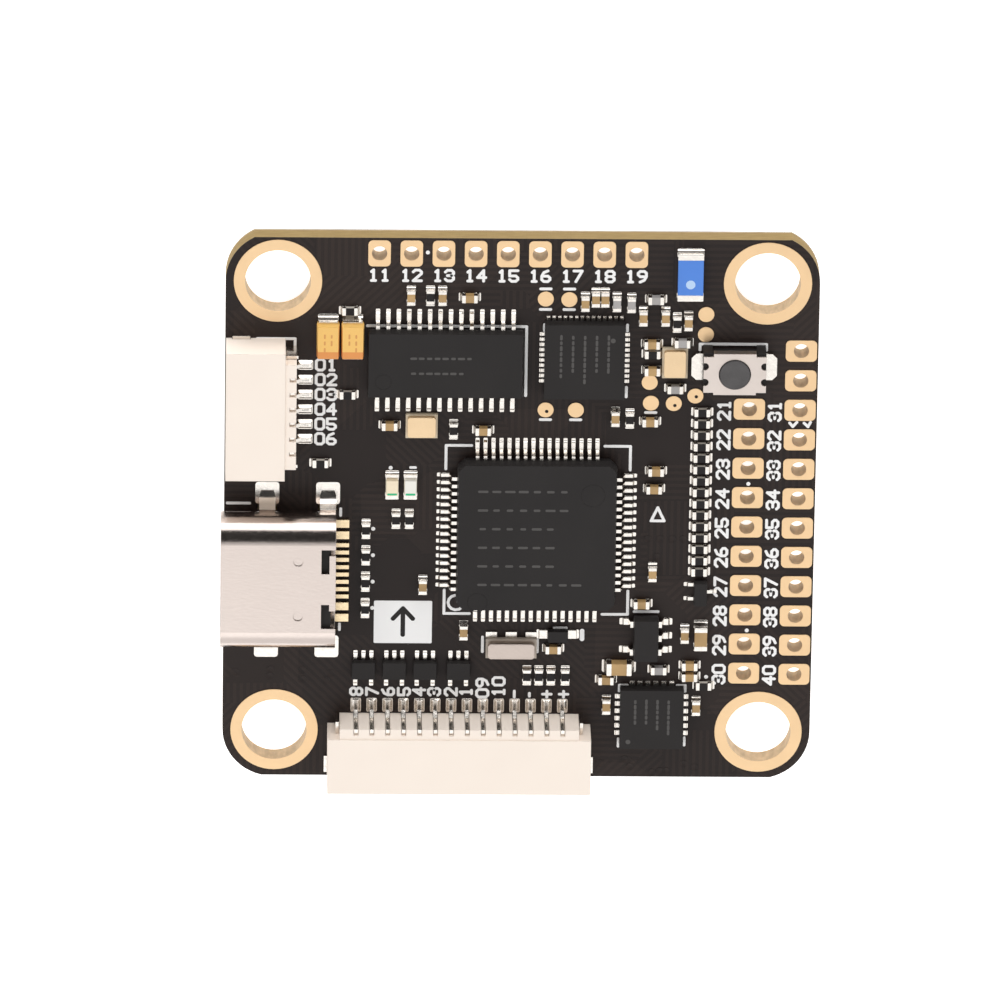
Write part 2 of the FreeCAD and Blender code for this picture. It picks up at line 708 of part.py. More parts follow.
def socket(prefix, pins, x, y, degrees):
    """Housing, bent contacts and solder anchors; the mouth faces -Y before the turn."""
    row_half = f"(({pins} - 1) * pin_pitch / 2)"
    end = f"({row_half} + socket_end)"
    rear_end = f"({end} - socket_ear)"

    housing = new_body(prefix + "Housing")
    plan = [(f"-{end}", 0), (end, 0), (end, "socket_main_depth"), (rear_end, "socket_main_depth"),
            (rear_end, "socket_depth"), (f"-{rear_end}", "socket_depth"),
            (f"-{rear_end}", "socket_main_depth"), (f"-{end}", "socket_main_depth")]
    pad(housing, outline(housing, prefix + "Plan", plan), "socket_tall")
    lip = box_loop(f"-{rear_end} - cut_past", f"{rear_end} + cut_past", "socket_main_depth",
                   "socket_depth + cut_past")
    pocket(housing, outline(housing, prefix + "Lip", lip, lift="socket_tall"), "socket_lip")
    wall = f"({end} - socket_side_wall)"
    mouth = box_loop(f"-{wall}", wall, "socket_floor", "socket_tall - socket_top_wall")
    pocket(housing, outline(housing, prefix + "Mouth", mouth, plane="XZ"), "socket_cavity")
    key = box_loop(f"-{wall} - socket_key", f"{wall} + socket_key", "socket_key_foot",
                   "socket_key_foot + socket_key_tall")
    pocket(housing, outline(housing, prefix + "Key", key, plane="XZ"), "socket_cavity")
    groove = "(contact_thick / 2 + contact_gap)"
    slot = box_loop(f"-{row_half} - {groove}", f"-{row_half} + {groove}",
                    "socket_depth - contact_leaf * 2 - contact_gap", "socket_depth + cut_past")
    slot = pocket(housing, outline(housing, prefix + "Slot", slot, lift="socket_tall"), "socket_tall * 2")
    repeat(housing, [slot], "H_Axis", "pin_pitch", pins)
    post = "(contact_leaf / 2 + contact_gap)"
    hole = box_loop(f"-{row_half} - {groove}", f"-{row_half} + {groove}",
                    f"contact_post - {post}", f"contact_post + {post}")
    hole = pocket(housing, outline(housing, prefix + "Post", hole, plane="XZ"), "socket_depth - contact_leaf")
    repeat(housing, [hole], "H_Axis", "pin_pitch", pins)
    reliefs = [anchor_loop(end, rear_end, "contact_gap", side) for side in ("", "-")]
    pocket(housing, outline(housing, prefix + "Relief", *reliefs), "anchor_thick + contact_gap", away=True)
    housing.Tip = housing.Group[-1]
    place(housing, prefix + "_socket_housing", x, y)
    turn(housing, degrees)

    contact = new_body(prefix + "Contact")
    leaf, rear = "contact_leaf", "socket_depth"
    profile = [(f"{rear} + contact_tail", 0), (f"{rear} + contact_tail", leaf),
               (f"{rear} + contact_heel", leaf),
               (f"{rear} - {leaf} / 2", "contact_bend"), (f"{rear} - {leaf} / 2", "contact_rise"),
               (f"{rear} - {leaf} * 2", "contact_rise"),
               (f"{rear} - {leaf} * 2", f"contact_post + {leaf} / 2"),
               ("contact_tip", f"contact_post + {leaf} / 2"), ("contact_tip", f"contact_post - {leaf} / 2"),
               (f"{rear} - {leaf} * 2", f"contact_post - {leaf} / 2"), (f"{rear} - {leaf} * 2", 0)]
    pad(contact, outline(contact, prefix + "Side", profile, plane="YZ"), "contact_thick", both_sides=True)

    anchor = new_body(prefix + "Anchor")
    pad(anchor, outline(anchor, prefix + "Foot", anchor_loop(end, rear_end, "0", "")), "anchor_thick")
    upright = box_loop(f"{rear_end} + anchor_gap", f"{rear_end} + anchor_gap + anchor_thick",
                       "socket_main_depth + anchor_gap", "socket_depth + anchor_tab")
    pad(anchor, outline(anchor, prefix + "Upright", upright), "anchor_rise")

    doc.recompute()
    spot = housing.Placement
    steps = [spot.multiply(at(step, 0)) for step in even_steps(pins, size("pin_pitch"))]
    group(prefix + "_socket_contacts", copies(contact, steps))
    other = anchor.Shape.mirror(Vector(0, 0, 0), Vector(1, 0, 0))
    pair = [anchor.Shape, other]
    group(prefix + "_socket_anchors", [piece.transformed(spot.toMatrix(), copy=True) for piece in pair])


def anchor_loop(end, rear_end, gap, side):
    """Plan of an anchor: a bar under the ear and a foot out past the housing's end."""
    inner = f"{side}({rear_end} + anchor_gap - {gap})"
    outer = f"{side}({rear_end} + anchor_gap + anchor_thick + {gap})"
    toe = f"{side}({end} + anchor_thick + {gap})"
    front, back = f"anchor_front - {gap}", f"socket_depth + anchor_tab + {gap}"
    return [(inner, front), (toe, front), (toe, f"anchor_front + anchor_foot + {gap}"),
            (outer, f"anchor_front + anchor_foot + {gap}"), (outer, back), (inner, back)]


# ---------------------------------------------------------------- moulded and leadless chips

def moulded_case(name, long, wide, tall, corner):
    """Chip case with cut corners, drafted up and down from its parting line."""
    body = new_body(name)
    middle = f"(({tall}) / 2)"
    section = outline(body, name + "Section", clipped_loop(long, wide, corner), lift=middle)
    pad(body, section, f"({tall}) / 2", draft="mould_draft")
    lower = outline(body, name + "Lower", clipped_loop(long, wide, corner), lift=middle)
    pad(body, lower, f"({tall}) / 2 - case_standoff", away=True, draft="mould_draft")
    return body


def gull_lead(name, tall, reach, wide):
    """Template lead that leaves the case at x = 0 and steps down to the board."""
    body = new_body(name)
    low, high = f"({tall}) / 2 - lead_thick / 2", f"({tall}) / 2 + lead_thick / 2"
    shoulder = f"({reach}) * lead_shoulder"
    knee = f"({reach}) * (lead_shoulder + lead_knee)"
    profile = [(0, low), (0, high), (shoulder, high), (knee, "lead_thick"), (reach, "lead_thick"),
               (reach, 0), (f"{knee} - lead_thick", 0), (f"{shoulder} - lead_thick", low)]
    pad(body, outline(body, name + "Profile", profile, plane="XZ"), wide, both_sides=True)
    return body


def end_spots(x, y, reach, steps, lift=0.0):
    """Places along the two sides of a chip that face +X and -X."""
    return [at(x + side * reach, y + step, lift, turned)
            for step in steps for side, turned in ((1, 0), (-1, 180))]


def row_spots(x, y, reach, steps, lift=0.0):
    """Places along the two sides of a chip that face +Y and -Y."""
    return [at(x + step, y + side * reach, lift, turned)
            for step in steps for side, turned in ((1, 90), (-1, 270))]


def processor():
    """Square processor with a row of leads on each side."""
    case = moulded_case("Processor", "processor_wide", "processor_wide", "processor_tall", "processor_corner")
    place(case, "processor_case", "processor_place_x", "processor_place_y")
    lead = gull_lead("ProcessorLead", "processor_tall", "lead_reach", "processor_lead")
    edge = size("processor_wide") / 2
    steps = even_steps("processor_side", size("processor_pitch"))
    middle = (size("processor_place_x"), size("processor_place_y"))
    group("processor_leads", copies(lead, end_spots(*middle, edge, steps) + row_spots(*middle, edge, steps)))


def overlay_chip():
    """Video overlay chip with a row of leads on each long side."""
    case = moulded_case("Overlay", "overlay_long", "overlay_wide", "overlay_tall", "small_case_corner")
    place(case, "overlay_chip_case", "overlay_place_x", "overlay_place_y")
    lead = gull_lead("OverlayLead", "overlay_tall", "lead_reach", "overlay_lead")
    steps = even_steps("overlay_side", size("overlay_pitch"))
    middle = (size("overlay_place_x"), size("overlay_place_y"))
    group("overlay_chip_leads", copies(lead, row_spots(*middle, size("overlay_wide") / 2, steps)))


def leadless_chips():
    """Radio, motion sensor and, underneath, the flash memory."""
    for node, prefix in (("radio_chip", "radio"), ("motion_sensor", "motion")):
        wide, pitch = prefix + "_wide", prefix + "_pitch"
        case = block(node, wide, wide, f"{prefix}_tall - leadless_thick",
                     x=prefix + "_place_x", y=prefix + "_place_y", z="leadless_thick")
        case.Label = node + "_case"
        contact = block(node + "Contact", "leadless_toe * 2", f"{pitch} * leadless_share", "leadless_thick")
        middle = (size(prefix + "_place_x"), size(prefix + "_place_y"))
        spots = end_spots(*middle, size(wide) / 2, even_steps(prefix + "_ends", size(pitch)))
        spots += row_spots(*middle, size(wide) / 2, even_steps(prefix + "_rows", size(pitch)))
        group(node + "_contacts", copies(contact, spots))

    memory = block("flash_memory", "flash_long", "flash_wide", "flash_tall - leadless_thick",
                   x=str(FLASH_PLACE[0]), y=str(FLASH_PLACE[1]), z="-board_thick - flash_tall")
    memory.Label = "flash_memory_case"
    contact = block("FlashContact", "leadless_toe * 2", "flash_lead", "leadless_thick")
    steps = even_steps("flash_side", size("flash_pitch"))
    below = -size("board_thick") - size("leadless_thick")
    spots = end_spots(*FLASH_PLACE, size("flash_long") / 2, steps, below)
    group("flash_memory_contacts", copies(contact, spots))


def small_chips():
    """Regulators on both faces, the four level shifters and the transistor."""
    case = moulded_case("Regulator", "regulator_wide", "regulator_long", "regulator_tall",
                        "small_case_corner")
    lead = gull_lead("RegulatorLead", "regulator_tall", "regulator_reach", "regulator_lead")
    half, pitch = size("regulator_wide") / 2, size("regulator_pitch")
    homes = [at(*TOP_REGULATOR)] + [under(x, y) for x, y in CONVERTERS]
    group("regulator_cases", copies(case, homes))
    spots = []
    for number, home in enumerate(homes):
        rows = [(1, -1), (1, 0), (1, 1), (-1, -1), (-1, 1)]
        if number:
            rows.append((-1, 0))
        for side, step in rows:
            spots.append(home.multiply(at(side * half, pitch * step, 0, 0 if side > 0 else 180)))
    group("regulator_leads", copies(lead, spots))

    case = moulded_case("Shifter", "shifter_long", "shifter_wide", "shifter_tall", "small_case_corner")
    lead = block("ShifterLead", "flat_lead_reach", "shifter_lead", "flat_lead_thick", x="flat_lead_reach / 2")
    half, pitch = size("shifter_wide") / 2, size("shifter_pitch")
    homes = [at(x, y) for x, y in SHIFTERS]
    group("level_shifter_cases", copies(case, homes))
    spots = [home.multiply(at(pitch * step, half, 0, 90)) for home in homes for step in (-1, 0, 1)]
    spots += [home.multiply(at(pitch * step, -half, 0, 270)) for home in homes for step in (-1, 1)]
    group("level_shifter_leads", copies(lead, spots))

    case = moulded_case("Transistor", "transistor_wide", "transistor_long", "transistor_tall",
                        "small_case_corner")
    case.Label = "transistor_case"
    bind(case, Placement__Base__x=TRANSISTOR[0], Placement__Base__y=TRANSISTOR[1])
    half, step = size("transistor_wide") / 2, size("transistor_pitch") / 2
    x, y = TRANSISTOR
    spots = [at(x - half, y + step, 0, 180), at(x - half, y - step, 0, 180), at(x + half, y, 0, 0)]
    group("transistor_leads", copies(lead, spots))


# ---------------------------------------------------------------- boot switch

DOME_RISE = "(switch_travel + dome_spare)"
SWITCH_WELL = "(plunger_dia / 2 + plunger_collar + plunger_gap)"


def boot_switch():
    """Base with its dome and plunger, held by a sheet cover, between two solder lugs."""
    x, y = "switch_place_x", "switch_place_y"
    half_x, half_y = "(switch_long / 2)", "(switch_wide / 2)"
    shy = "(switch_cover_thick + plunger_gap)"
    inner = f"({half_x} - switch_corner + plunger_gap)"
    base = new_body("SwitchBase")
    plan = [(f"-{half_x}", f"-{half_y}"), (f"-{inner}", f"-{half_y}"), (f"-{inner}", f"-{half_y} + {shy}"),
            (inner, f"-{half_y} + {shy}"), (inner, f"-{half_y}"), (half_x, f"-{half_y}"),
            (half_x, half_y), (inner, half_y), (inner, f"{half_y} - {shy}"),
            (f"-{inner}", f"{half_y} - {shy}"), (f"-{inner}", half_y), (f"-{half_x}", half_y)]
    pad(base, outline(base, "SwitchPlan", plan), "switch_base_tall")
    well = circles(base, "SwitchWell", [(0, 0)], SWITCH_WELL, lift="switch_base_tall")
    pocket(base, well, "switch_base_tall - switch_floor")
    place(base, "boot_switch_base", x, y)

    cover = new_body("SwitchCover")
    edge = f"({half_x} - switch_corner)"
    front, rear = f"-{half_y} + switch_cover_front", f"{half_y} - switch_cover_rear"
    plate = [(f"-{half_x}", front), (f"-{edge}", front), (f"-{edge}", f"-{half_y}"),
             (edge, f"-{half_y}"), (edge, front), (half_x, front),
             (half_x, rear), (edge, rear), (edge, half_y),
             (f"-{edge}", half_y), (f"-{edge}", rear), (f"-{half_x}", rear)]
    pad(cover, outline(cover, "CoverPlate", plate, lift="switch_base_tall"), "switch_cover_thick")
    flanges = [box_loop(f"-{edge}", edge, f"{side}({half_y} - switch_cover_thick)", f"{side}{half_y}")
               for side in ("", "-")]
    pad(cover, outline(cover, "CoverFlanges", *flanges, lift="switch_base_tall + switch_cover_thick"),
        "switch_flange", away=True)
    high = "switch_base_tall + switch_cover_thick"
    pocket(cover, circles(cover, "CoverHole", [(0, 0)], "plunger_dia / 2 + plunger_gap", lift=high))
    notches = [(f"{side}({half_x} - switch_notch_inset)", f"{up}switch_notch_step")
               for side in ("", "-") for up in ("", "-")]
    pocket(cover, circles(cover, "CoverNotches", notches, "switch_notch", lift=high))
    place(cover, "boot_switch_cover", x, y)

    plunger = new_body("SwitchPlunger")
    collar_top = "(switch_base_tall - plunger_gap / 2)"
    collar_foot = f"({collar_top} - plunger_collar_tall)"
    head = circles(plunger, "PlungerHead", [(0, 0)], "plunger_dia / 2", lift=collar_top)
    pad(plunger, head, f"{high} + plunger_head - {collar_top}")
    collar = circles(plunger, "PlungerCollar", [(0, 0)], "plunger_dia / 2 + plunger_collar", lift=collar_foot)
    pad(plunger, collar, "plunger_collar_tall")
    nub = circles(plunger, "PlungerNub", [(0, 0)], "plunger_dia / 5", lift=collar_foot)
    pad(plunger, nub, f"{collar_foot} - switch_floor - {DOME_RISE} - dome_gap", away=True)
    place(plunger, "boot_switch_plunger", x, y)

    cap = f"({SWITCH_WELL} - dome_gap)"
    ball = f"(({cap} ^ 2 + {DOME_RISE} ^ 2) / (2 * {DOME_RISE}))"
    solids = []
    for name, thick in (("DomeOutside", "0"), ("DomeInside", "dome_thick")):
        sphere = doc.addObject("Part::Sphere", name)
        bind(sphere, Radius=f"{ball} - {thick}", Angle1=f"asin(({ball} - {DOME_RISE}) / ({ball} - {thick}))")
        solids.append(sphere)
    dome = doc.addObject("Part::Cut", "SwitchDome")
    dome.Base, dome.Tool = solids
    place(dome, "boot_switch_dome", x, y, f"switch_floor + {DOME_RISE} - {ball}")

    lug = new_body("SwitchLug")
    reach, half = "switch_lug_reach", "switch_lug_wide / 2"
    cut = "switch_lug_round"
    plan = [(0, f"-{half}"), (f"{reach} - {cut}", f"-{half}"), (reach, f"-{half} + {cut}"),
            (reach, f"{half} - {cut}"), (f"{reach} - {cut}", half), (0, half)]
    pad(lug, outline(lug, "LugPlan", plan), "switch_lug_thick")
    group("boot_switch_lugs", copies(lug, end_spots(size(x), size(y), size("switch_long") / 2, [0])))


# ---------------------------------------------------------------- two-terminal pieces

def capped_chip(prefix, long, wide, tall, cap):
    """Templates of a chip's core and of one end cap, which sits at +X."""
    core = block(prefix + "Core", f"{long} - {cap} * 2", f"{wide} - chip_shy * 2", f"{tall} - chip_shy * 2",
                 z="chip_shy")
    body = new_body(prefix + "Cap")
    loop = box_loop(f"{long} / 2 - {cap}", f"{long} / 2", f"-{wide} / 2", f"{wide} / 2")
    end = pad(body, outline(body, prefix + "CapPlan", loop), tall)
    far = size(long) / 2
    round_edges(body, end, "chip_round",
                lambda e: abs(e.CenterOfMass.x - far) < 1e-4 and e.CenterOfMass.z > 1e-4)
    return core, body


def chips(spots, prefix, long, wide, tall, cap):
    """Cores and end caps of one size of chip at each spot."""
    core, end = capped_chip(prefix, long, wide, tall, cap)
    return copies(core, spots), copies(end, both_ways(spots))


def spots_of(table):
    """Rows of x, y and a turn in degrees, as places on the component face."""
    return [at(x, y, 0, degrees) for x, y, degrees in table]


def spots_under(table):
    """Rows of x, y and a turn in degrees, as places on the underside."""
    return [under(x, y, degrees) for x, y, degrees in table]


def both_ways(spots):
    """Each place, and the same place turned about."""
    return [spot.multiply(at(0, 0, 0, degrees)) for spot in spots for degrees in (0, 180)]


def resistors_and_capacitors():
    """Chip resistors, ceramic capacitors and filter beads on both faces."""
    ladder = [(LADDER_TOP[0], LADDER_TOP[1] - size("ladder_pitch") * i, 0)
              for i in range(int(size("ladder_count")))]
    spots = spots_of(SMALL_RESISTORS + ladder) + spots_under(UNDER_RESISTORS)
    cores, ends = chips(spots, "Resistor", "small_long", "small_wide", "small_thin", "small_cap")
    group("resistor_bodies", cores)
    group("resistor_ends", ends)

    spots = spots_of(SMALL_CAPACITORS) + spots_under(UNDER_SMALL_CAPACITORS)
    cores, ends = chips(spots, "Ceramic", "small_long", "small_wide", "small_thick", "small_cap")
    spots = spots_of(LARGE_CAPACITORS) + spots_under(UNDER_LARGE_CAPACITORS)
    large_cores, large_ends = chips(spots, "LargeCeramic", "large_long", "large_wide", "large_thick",
                                    "large_cap")
    group("ceramic_capacitor_bodies", cores + large_cores)
    group("ceramic_capacitor_ends", ends + large_ends)

    cores, ends = chips(spots_of(BEADS), "Bead", "small_long", "small_wide", "small_thick", "small_cap")
    group("filter_bead_bodies", cores)
    group("filter_bead_ends", ends)


def strapped_cases(prefix, long, wide, tall, spots):
    """Moulded cases with a folded strap standing against each end."""
    case = moulded_case(prefix, long, wide, tall, "small_case_corner")
    strap = block(prefix + "Strap", "strap_thick", f"{wide} * strap_share", "strap_tall",
                  x=f"{long} / 2 + strap_thick / 2")
    return copies(case, spots), copies(strap, both_ways(spots))


def moulded_capacitors():
    """Two tantalum capacitors beside the overlay chip and two larger ones underneath."""
    cases, ends = strapped_cases("Tantalum", "tantalum_long", "tantalum_wide", "tantalum_tall",
                                 spots_of(SMALL_TANTALUMS))
    low_cases, low_ends = strapped_cases("Bulk", "bulk_long", "bulk_wide", "underside_tall",
                                         spots_under(BULK_TANTALUMS))
    group("tantalum_capacitor_cases", cases + low_cases)
    group("tantalum_capacitor_ends", ends + low_ends)


def power_inductors():
    """Two shielded inductors underneath, level with the larger capacitors."""
    cases, ends = strapped_cases("Inductor", "inductor_wide", "inductor_wide", "underside_tall",
                                 spots_under(INDUCTORS))
    group("power_inductor_cores", cases)
    group("power_inductor_ends", ends)


def indicators():
    """Two indicator LEDs: a base, a clear lens and two end caps each."""
    span = "large_long - led_cap * 2"
    base = block("LedBase", span, "large_wide", "led_base_tall")
    lens = block("LedLens", span, "large_wide - led_shy * 2", "led_tall - led_base_tall", z="led_base_tall")
    end = block("LedEnd", "led_cap", "large_wide", "led_base_tall + led_shy",
                x="large_long / 2 - led_cap / 2")
    spots = spots_of(INDICATORS)
    group("indicator_led_bases", copies(base, spots))
    group("indicator_led_lenses", copies(lens, spots))
    group("indicator_led_ends", copies(end, both_ways(spots)))


def diode():
    """Moulded diode between two flat terminals."""
    spots = spots_of([DIODE])
    case = moulded_case("Diode", "diode_long", "diode_wide", "diode_tall", "small_case_corner")
    group("diode_case", copies(case, spots))
    end = block("DiodeEnd", "diode_cap", "diode_wide * diode_share", "flat_lead_thick",
                x="diode_long / 2 + diode_cap / 2")
    group("diode_ends", copies(end, both_ways(spots)))


def antenna():
    """Ceramic chip antenna that stands across the top edge."""
    x, y = size("antenna_place"), size("hole_pitch") / 2 + size("top_land") - size("antenna_inset")
    cores, ends = chips([at(x, y, 0, 90)], "Antenna", "antenna_long", "antenna_wide", "antenna_tall",
                        "antenna_cap")
    group("antenna_core", cores)
    group("antenna_ends", ends)


# ---------------------------------------------------------------- crystals, resonator, sensor

def lidded(prefix, long, wide, base_tall, lid_tall, rim):
    """Ceramic base with a rounded metal lid set in by a rim."""
    base = block(prefix + "Base", long, wide, base_tall)
    lid = new_body(prefix + "Lid")
    plan = outline(lid, prefix + "LidPlan", middle_loop(f"{long} - {rim} * 2", f"{wide} - {rim} * 2"),
                   lift=base_tall)
    top = pad(lid, plan, lid_tall)
    round_edges(lid, top, f"{rim} * 1.5", lambda e: runs_along(e, "z"))
    return base, lid


def crystals():
    """Two small crystals: one beside the overlay chip, one beside the radio."""
    base, lid = lidded("Crystal", "crystal_long", "crystal_wide", "crystal_base_tall", "crystal_lid_tall",
                       "crystal_rim")
    spots = spots_of(CRYSTALS)
    group("crystal_bases", copies(base, spots))
    group("crystal_lids", copies(lid, spots))


def resonator():
    """Three-terminal resonator of the processor."""
    base, lid = lidded("Resonator", "resonator_long", "resonator_wide", "resonator_base_tall",
                       "resonator_lid_tall", "resonator_rim")
    x, y = size("resonator_place_x"), size("resonator_place_y")
    group("resonator_base", copies(base, [at(x, y)]))
    group("resonator_lid", copies(lid, [at(x, y)]))
    end = block("ResonatorEnd", "resonator_end", "resonator_toe", "flat_lead_thick",
                y="resonator_wide / 2 + resonator_toe / 2")
    reach = (size("resonator_long") - size("resonator_end")) / 2
    group("resonator_ends", copies(end, [at(x + step * reach, y) for step in (-1, 0, 1)]))


def pressure_sensor():
    """Pressure sensor underneath: a base and a hollow metal lid with its vent."""
    base, lid = lidded("Sensor", "sensor_long", "sensor_wide", "sensor_base_tall", "sensor_lid_tall",
                       "sensor_rim")
    inside = middle_loop("sensor_long - sensor_rim * 4", "sensor_wide - sensor_rim * 4")
    pocket(lid, outline(lid, "SensorHollow", inside, lift="sensor_base_tall"), "sensor_lid_tall - sensor_rim",
           away=True)
    vent = circles(lid, "SensorVent", [("sensor_long / 4", 0)], "sensor_vent / 2",
                   lift="sensor_base_tall + sensor_lid_tall")
    pocket(lid, vent, "sensor_rim * 2")
    spots = spots_under([PRESSURE_SENSOR])
    group("pressure_sensor_base", copies(base, spots))
    group("pressure_sensor_lid", copies(lid, spots))


# ---------------------------------------------------------------- assembly

def nodes():
    """Every finished piece, by the name of its node."""
    return [item for item in doc.Objects if re.fullmatch(r"[a-z]+(_[a-z0-9]+)+", item.Label)]


def check_and_write():
    """Refuse a failed or empty piece, then write one file for each node."""
    doc.recompute()
    failed = [item.Name for item in doc.Objects if {"Invalid", "Error"} & set(item.State)]
    if failed:
        raise RuntimeError(f"failed objects: {failed}")
    os.makedirs("parts", exist_ok=True)
    for item in nodes():
        shape = item.Shape
        if shape.isNull() or not shape.isValid() or not shape.Solids:
            raise RuntimeError(f"{item.Label} has no valid solid")
        shape.exportStep(os.path.join("parts", item.Label + ".step"))
        print(f"{item.Label:28s} {len(shape.Solids):4d} solids {shape.Volume:10.4f} mm3")


circuit_board()
mounting_rings()
solder_pads()
usb_receptacle()
socket("side", "side_pins", f"-{SIDE_EDGE} + side_socket_inset", "side_socket_place", -90)
socket("main", "main_pins", "main_socket_place", f"-{BOTTOM_EDGE} - socket_overhang", 0)
processor()
overlay_chip()
leadless_chips()
small_chips()
boot_switch()
resistors_and_capacitors()
moulded_capacitors()
power_inductors()
indicators()
diode()
antenna()
crystals()
resonator()
pressure_sensor()
check_and_write()
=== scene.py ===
"""Looks of a flight controller board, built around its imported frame.

Sizes written here are in millimetres, in the frame's own axes: the origin is the centre of the
four mounting holes on the component face, +X points to the two columns of solder pads, +Y to the
single row of pads and +Z out of the component face. Blender itself works in metres.
"""
import json
import logging
import math
import random
from collections.abc import Callable, Iterable, Iterator
from contextlib import contextmanager
from dataclasses import dataclass
from enum import Enum

import bmesh
import bpy
from mathutils import Matrix, Vector


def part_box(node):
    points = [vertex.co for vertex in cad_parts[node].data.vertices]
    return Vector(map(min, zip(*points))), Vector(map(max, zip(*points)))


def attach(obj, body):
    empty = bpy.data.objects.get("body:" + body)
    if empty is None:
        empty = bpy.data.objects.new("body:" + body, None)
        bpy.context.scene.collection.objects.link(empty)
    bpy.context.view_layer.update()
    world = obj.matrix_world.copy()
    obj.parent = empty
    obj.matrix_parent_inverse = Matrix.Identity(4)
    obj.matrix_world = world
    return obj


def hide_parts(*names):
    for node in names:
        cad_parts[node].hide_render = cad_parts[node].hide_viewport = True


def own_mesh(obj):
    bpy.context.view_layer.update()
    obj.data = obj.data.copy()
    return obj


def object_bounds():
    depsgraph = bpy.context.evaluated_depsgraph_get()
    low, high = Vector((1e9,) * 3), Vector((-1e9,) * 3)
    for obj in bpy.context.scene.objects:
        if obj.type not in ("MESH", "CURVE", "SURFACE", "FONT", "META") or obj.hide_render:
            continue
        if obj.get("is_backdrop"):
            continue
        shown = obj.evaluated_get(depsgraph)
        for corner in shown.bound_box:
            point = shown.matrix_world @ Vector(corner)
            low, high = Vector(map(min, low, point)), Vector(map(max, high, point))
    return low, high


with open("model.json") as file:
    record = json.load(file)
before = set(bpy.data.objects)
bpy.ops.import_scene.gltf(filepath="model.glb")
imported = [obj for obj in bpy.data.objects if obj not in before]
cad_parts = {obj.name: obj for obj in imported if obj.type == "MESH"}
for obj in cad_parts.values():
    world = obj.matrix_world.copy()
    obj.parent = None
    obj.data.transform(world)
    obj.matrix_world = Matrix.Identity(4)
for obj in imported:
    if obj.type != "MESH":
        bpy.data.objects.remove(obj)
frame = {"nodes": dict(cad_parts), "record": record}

MM = 0.001
BOARD_BODY = "board"
log = logging.getLogger("flight_controller")


# ---------------------------------------------------------------- the frame's solids

class Face(Enum):
    """The two faces of the board."""

    TOP = 1
    UNDER = -1


@dataclass(frozen=True)
class Solid:
    """Box round one separate solid of a CAD node, in millimetres."""

    low: Vector
    high: Vector

    @property
    def centre(self) -> Vector:
        """Middle of the box."""
        return (self.low + self.high) / 2

    @property
    def size(self) -> Vector:
        """Length of the box along each axis."""
        return self.high - self.low

    @property
    def face(self) -> Face:
        """Face of the board that the solid stands on."""
        return Face.TOP if self.centre.z > BOARD.centre.z else Face.UNDER


def node_box(node: str) -> Solid:
    """Box round a whole CAD node, in millimetres."""
    low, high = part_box(node)
    return Solid(low / MM, high / MM)


def solids_of(node: str) -> list[Solid]:
    """Boxes of the separate solids that a CAD node holds.

    Args:
        node: Name of the CAD node.

    Returns:
        One box for each solid, in the order of their first vertices.
    """
    mesh = frame["nodes"][node].data
    keys = [tuple(round(c * 1e7) for c in vertex.co) for vertex in mesh.vertices]
    parent = {key: key for key in keys}

    def root(key: tuple) -> tuple:
        """Find the corner that stands for a key's solid.

        Args:
            key: Corner of the mesh.

        Returns:
            The corner that stands for its solid.
        """
        while parent[key] != key:
            parent[key] = parent[parent[key]]
            key = parent[key]
        return key

    for polygon in mesh.polygons:
        first, *others = (root(keys[i]) for i in polygon.vertices)
        for other in others:
            parent[root(other)] = root(first)
    boxes: dict[tuple, list[Vector]] = {}
    for key, vertex in zip(keys, mesh.vertices):
        boxes.setdefault(root(key), []).append(vertex.co / MM)
    return [Solid(Vector(map(min, *points)), Vector(map(max, *points))) for points in boxes.values()]


BOARD = node_box("circuit_board")


def surface_height(face: Face) -> float:
    """Height of one face of the bare board."""
    return BOARD.high.z if face is Face.TOP else BOARD.low.z


# ---------------------------------------------------------------- modelling helpers

def select_only(piece: bpy.types.Object) -> None:
    """Select one object and make it active.

    Args:
        piece: The object.
    """
    bpy.ops.object.select_all(action="DESELECT")
    piece.select_set(True)
    bpy.context.view_layer.objects.active = piece


@contextmanager
def editing(piece: bpy.types.Object, kind: str = "EDGE") -> Iterator[bmesh.types.BMesh]:
    """Edit mode on one piece, entered with nothing selected.

    Args:
        piece: Object to edit.
        kind: Selection mode: VERT, EDGE or FACE.

    Yields:
        The piece's edit mesh, for selecting by place or normal.
    """
    select_only(piece)
    bpy.ops.object.mode_set(mode="EDIT")
    bpy.ops.mesh.select_mode(type=kind)
    bpy.ops.mesh.select_all(action="DESELECT")
    yield bmesh.from_edit_mesh(piece.data)
    bpy.ops.object.mode_set(mode="OBJECT")


def pick(items: Iterable, test: Callable[[object], bool]) -> None:
    """Select the vertices, edges or faces that pass a test.

    Args:
        items: Vertices, edges or faces of an edit mesh.
        test: True for an item to select.
    """
    for item in items:
        if test(item):
            item.select_set(True)


def start_box(name: str, low: Iterable[float], high: Iterable[float]) -> bpy.types.Object:
    """Add a cube primitive that fills a box.

    Args:
        name: Name of the new object.
        low: Lowest corner.
        high: Highest corner.

    Returns:
        The object, with its place in its mesh.
    """
    low, high = Vector(low), Vector(high)
    bpy.ops.object.select_all(action="DESELECT")
    bpy.ops.mesh.primitive_cube_add(size=1, location=(low + high) / 2, scale=high - low)
    return settled(name)


def start_disc(name: str, radius: float, tall: float, sides: int = 24) -> bpy.types.Object:
    """Add a cylinder primitive that stands on the origin.

    Args:
        name: Name of the new object.
        radius: Radius of the disc.
        tall: Height of the disc.
        sides: Number of sides.

    Returns:
        The object.
    """
    bpy.ops.object.select_all(action="DESELECT")
    bpy.ops.mesh.primitive_cylinder_add(vertices=sides, radius=radius, depth=tall, location=(0, 0, tall / 2))
    return settled(name)


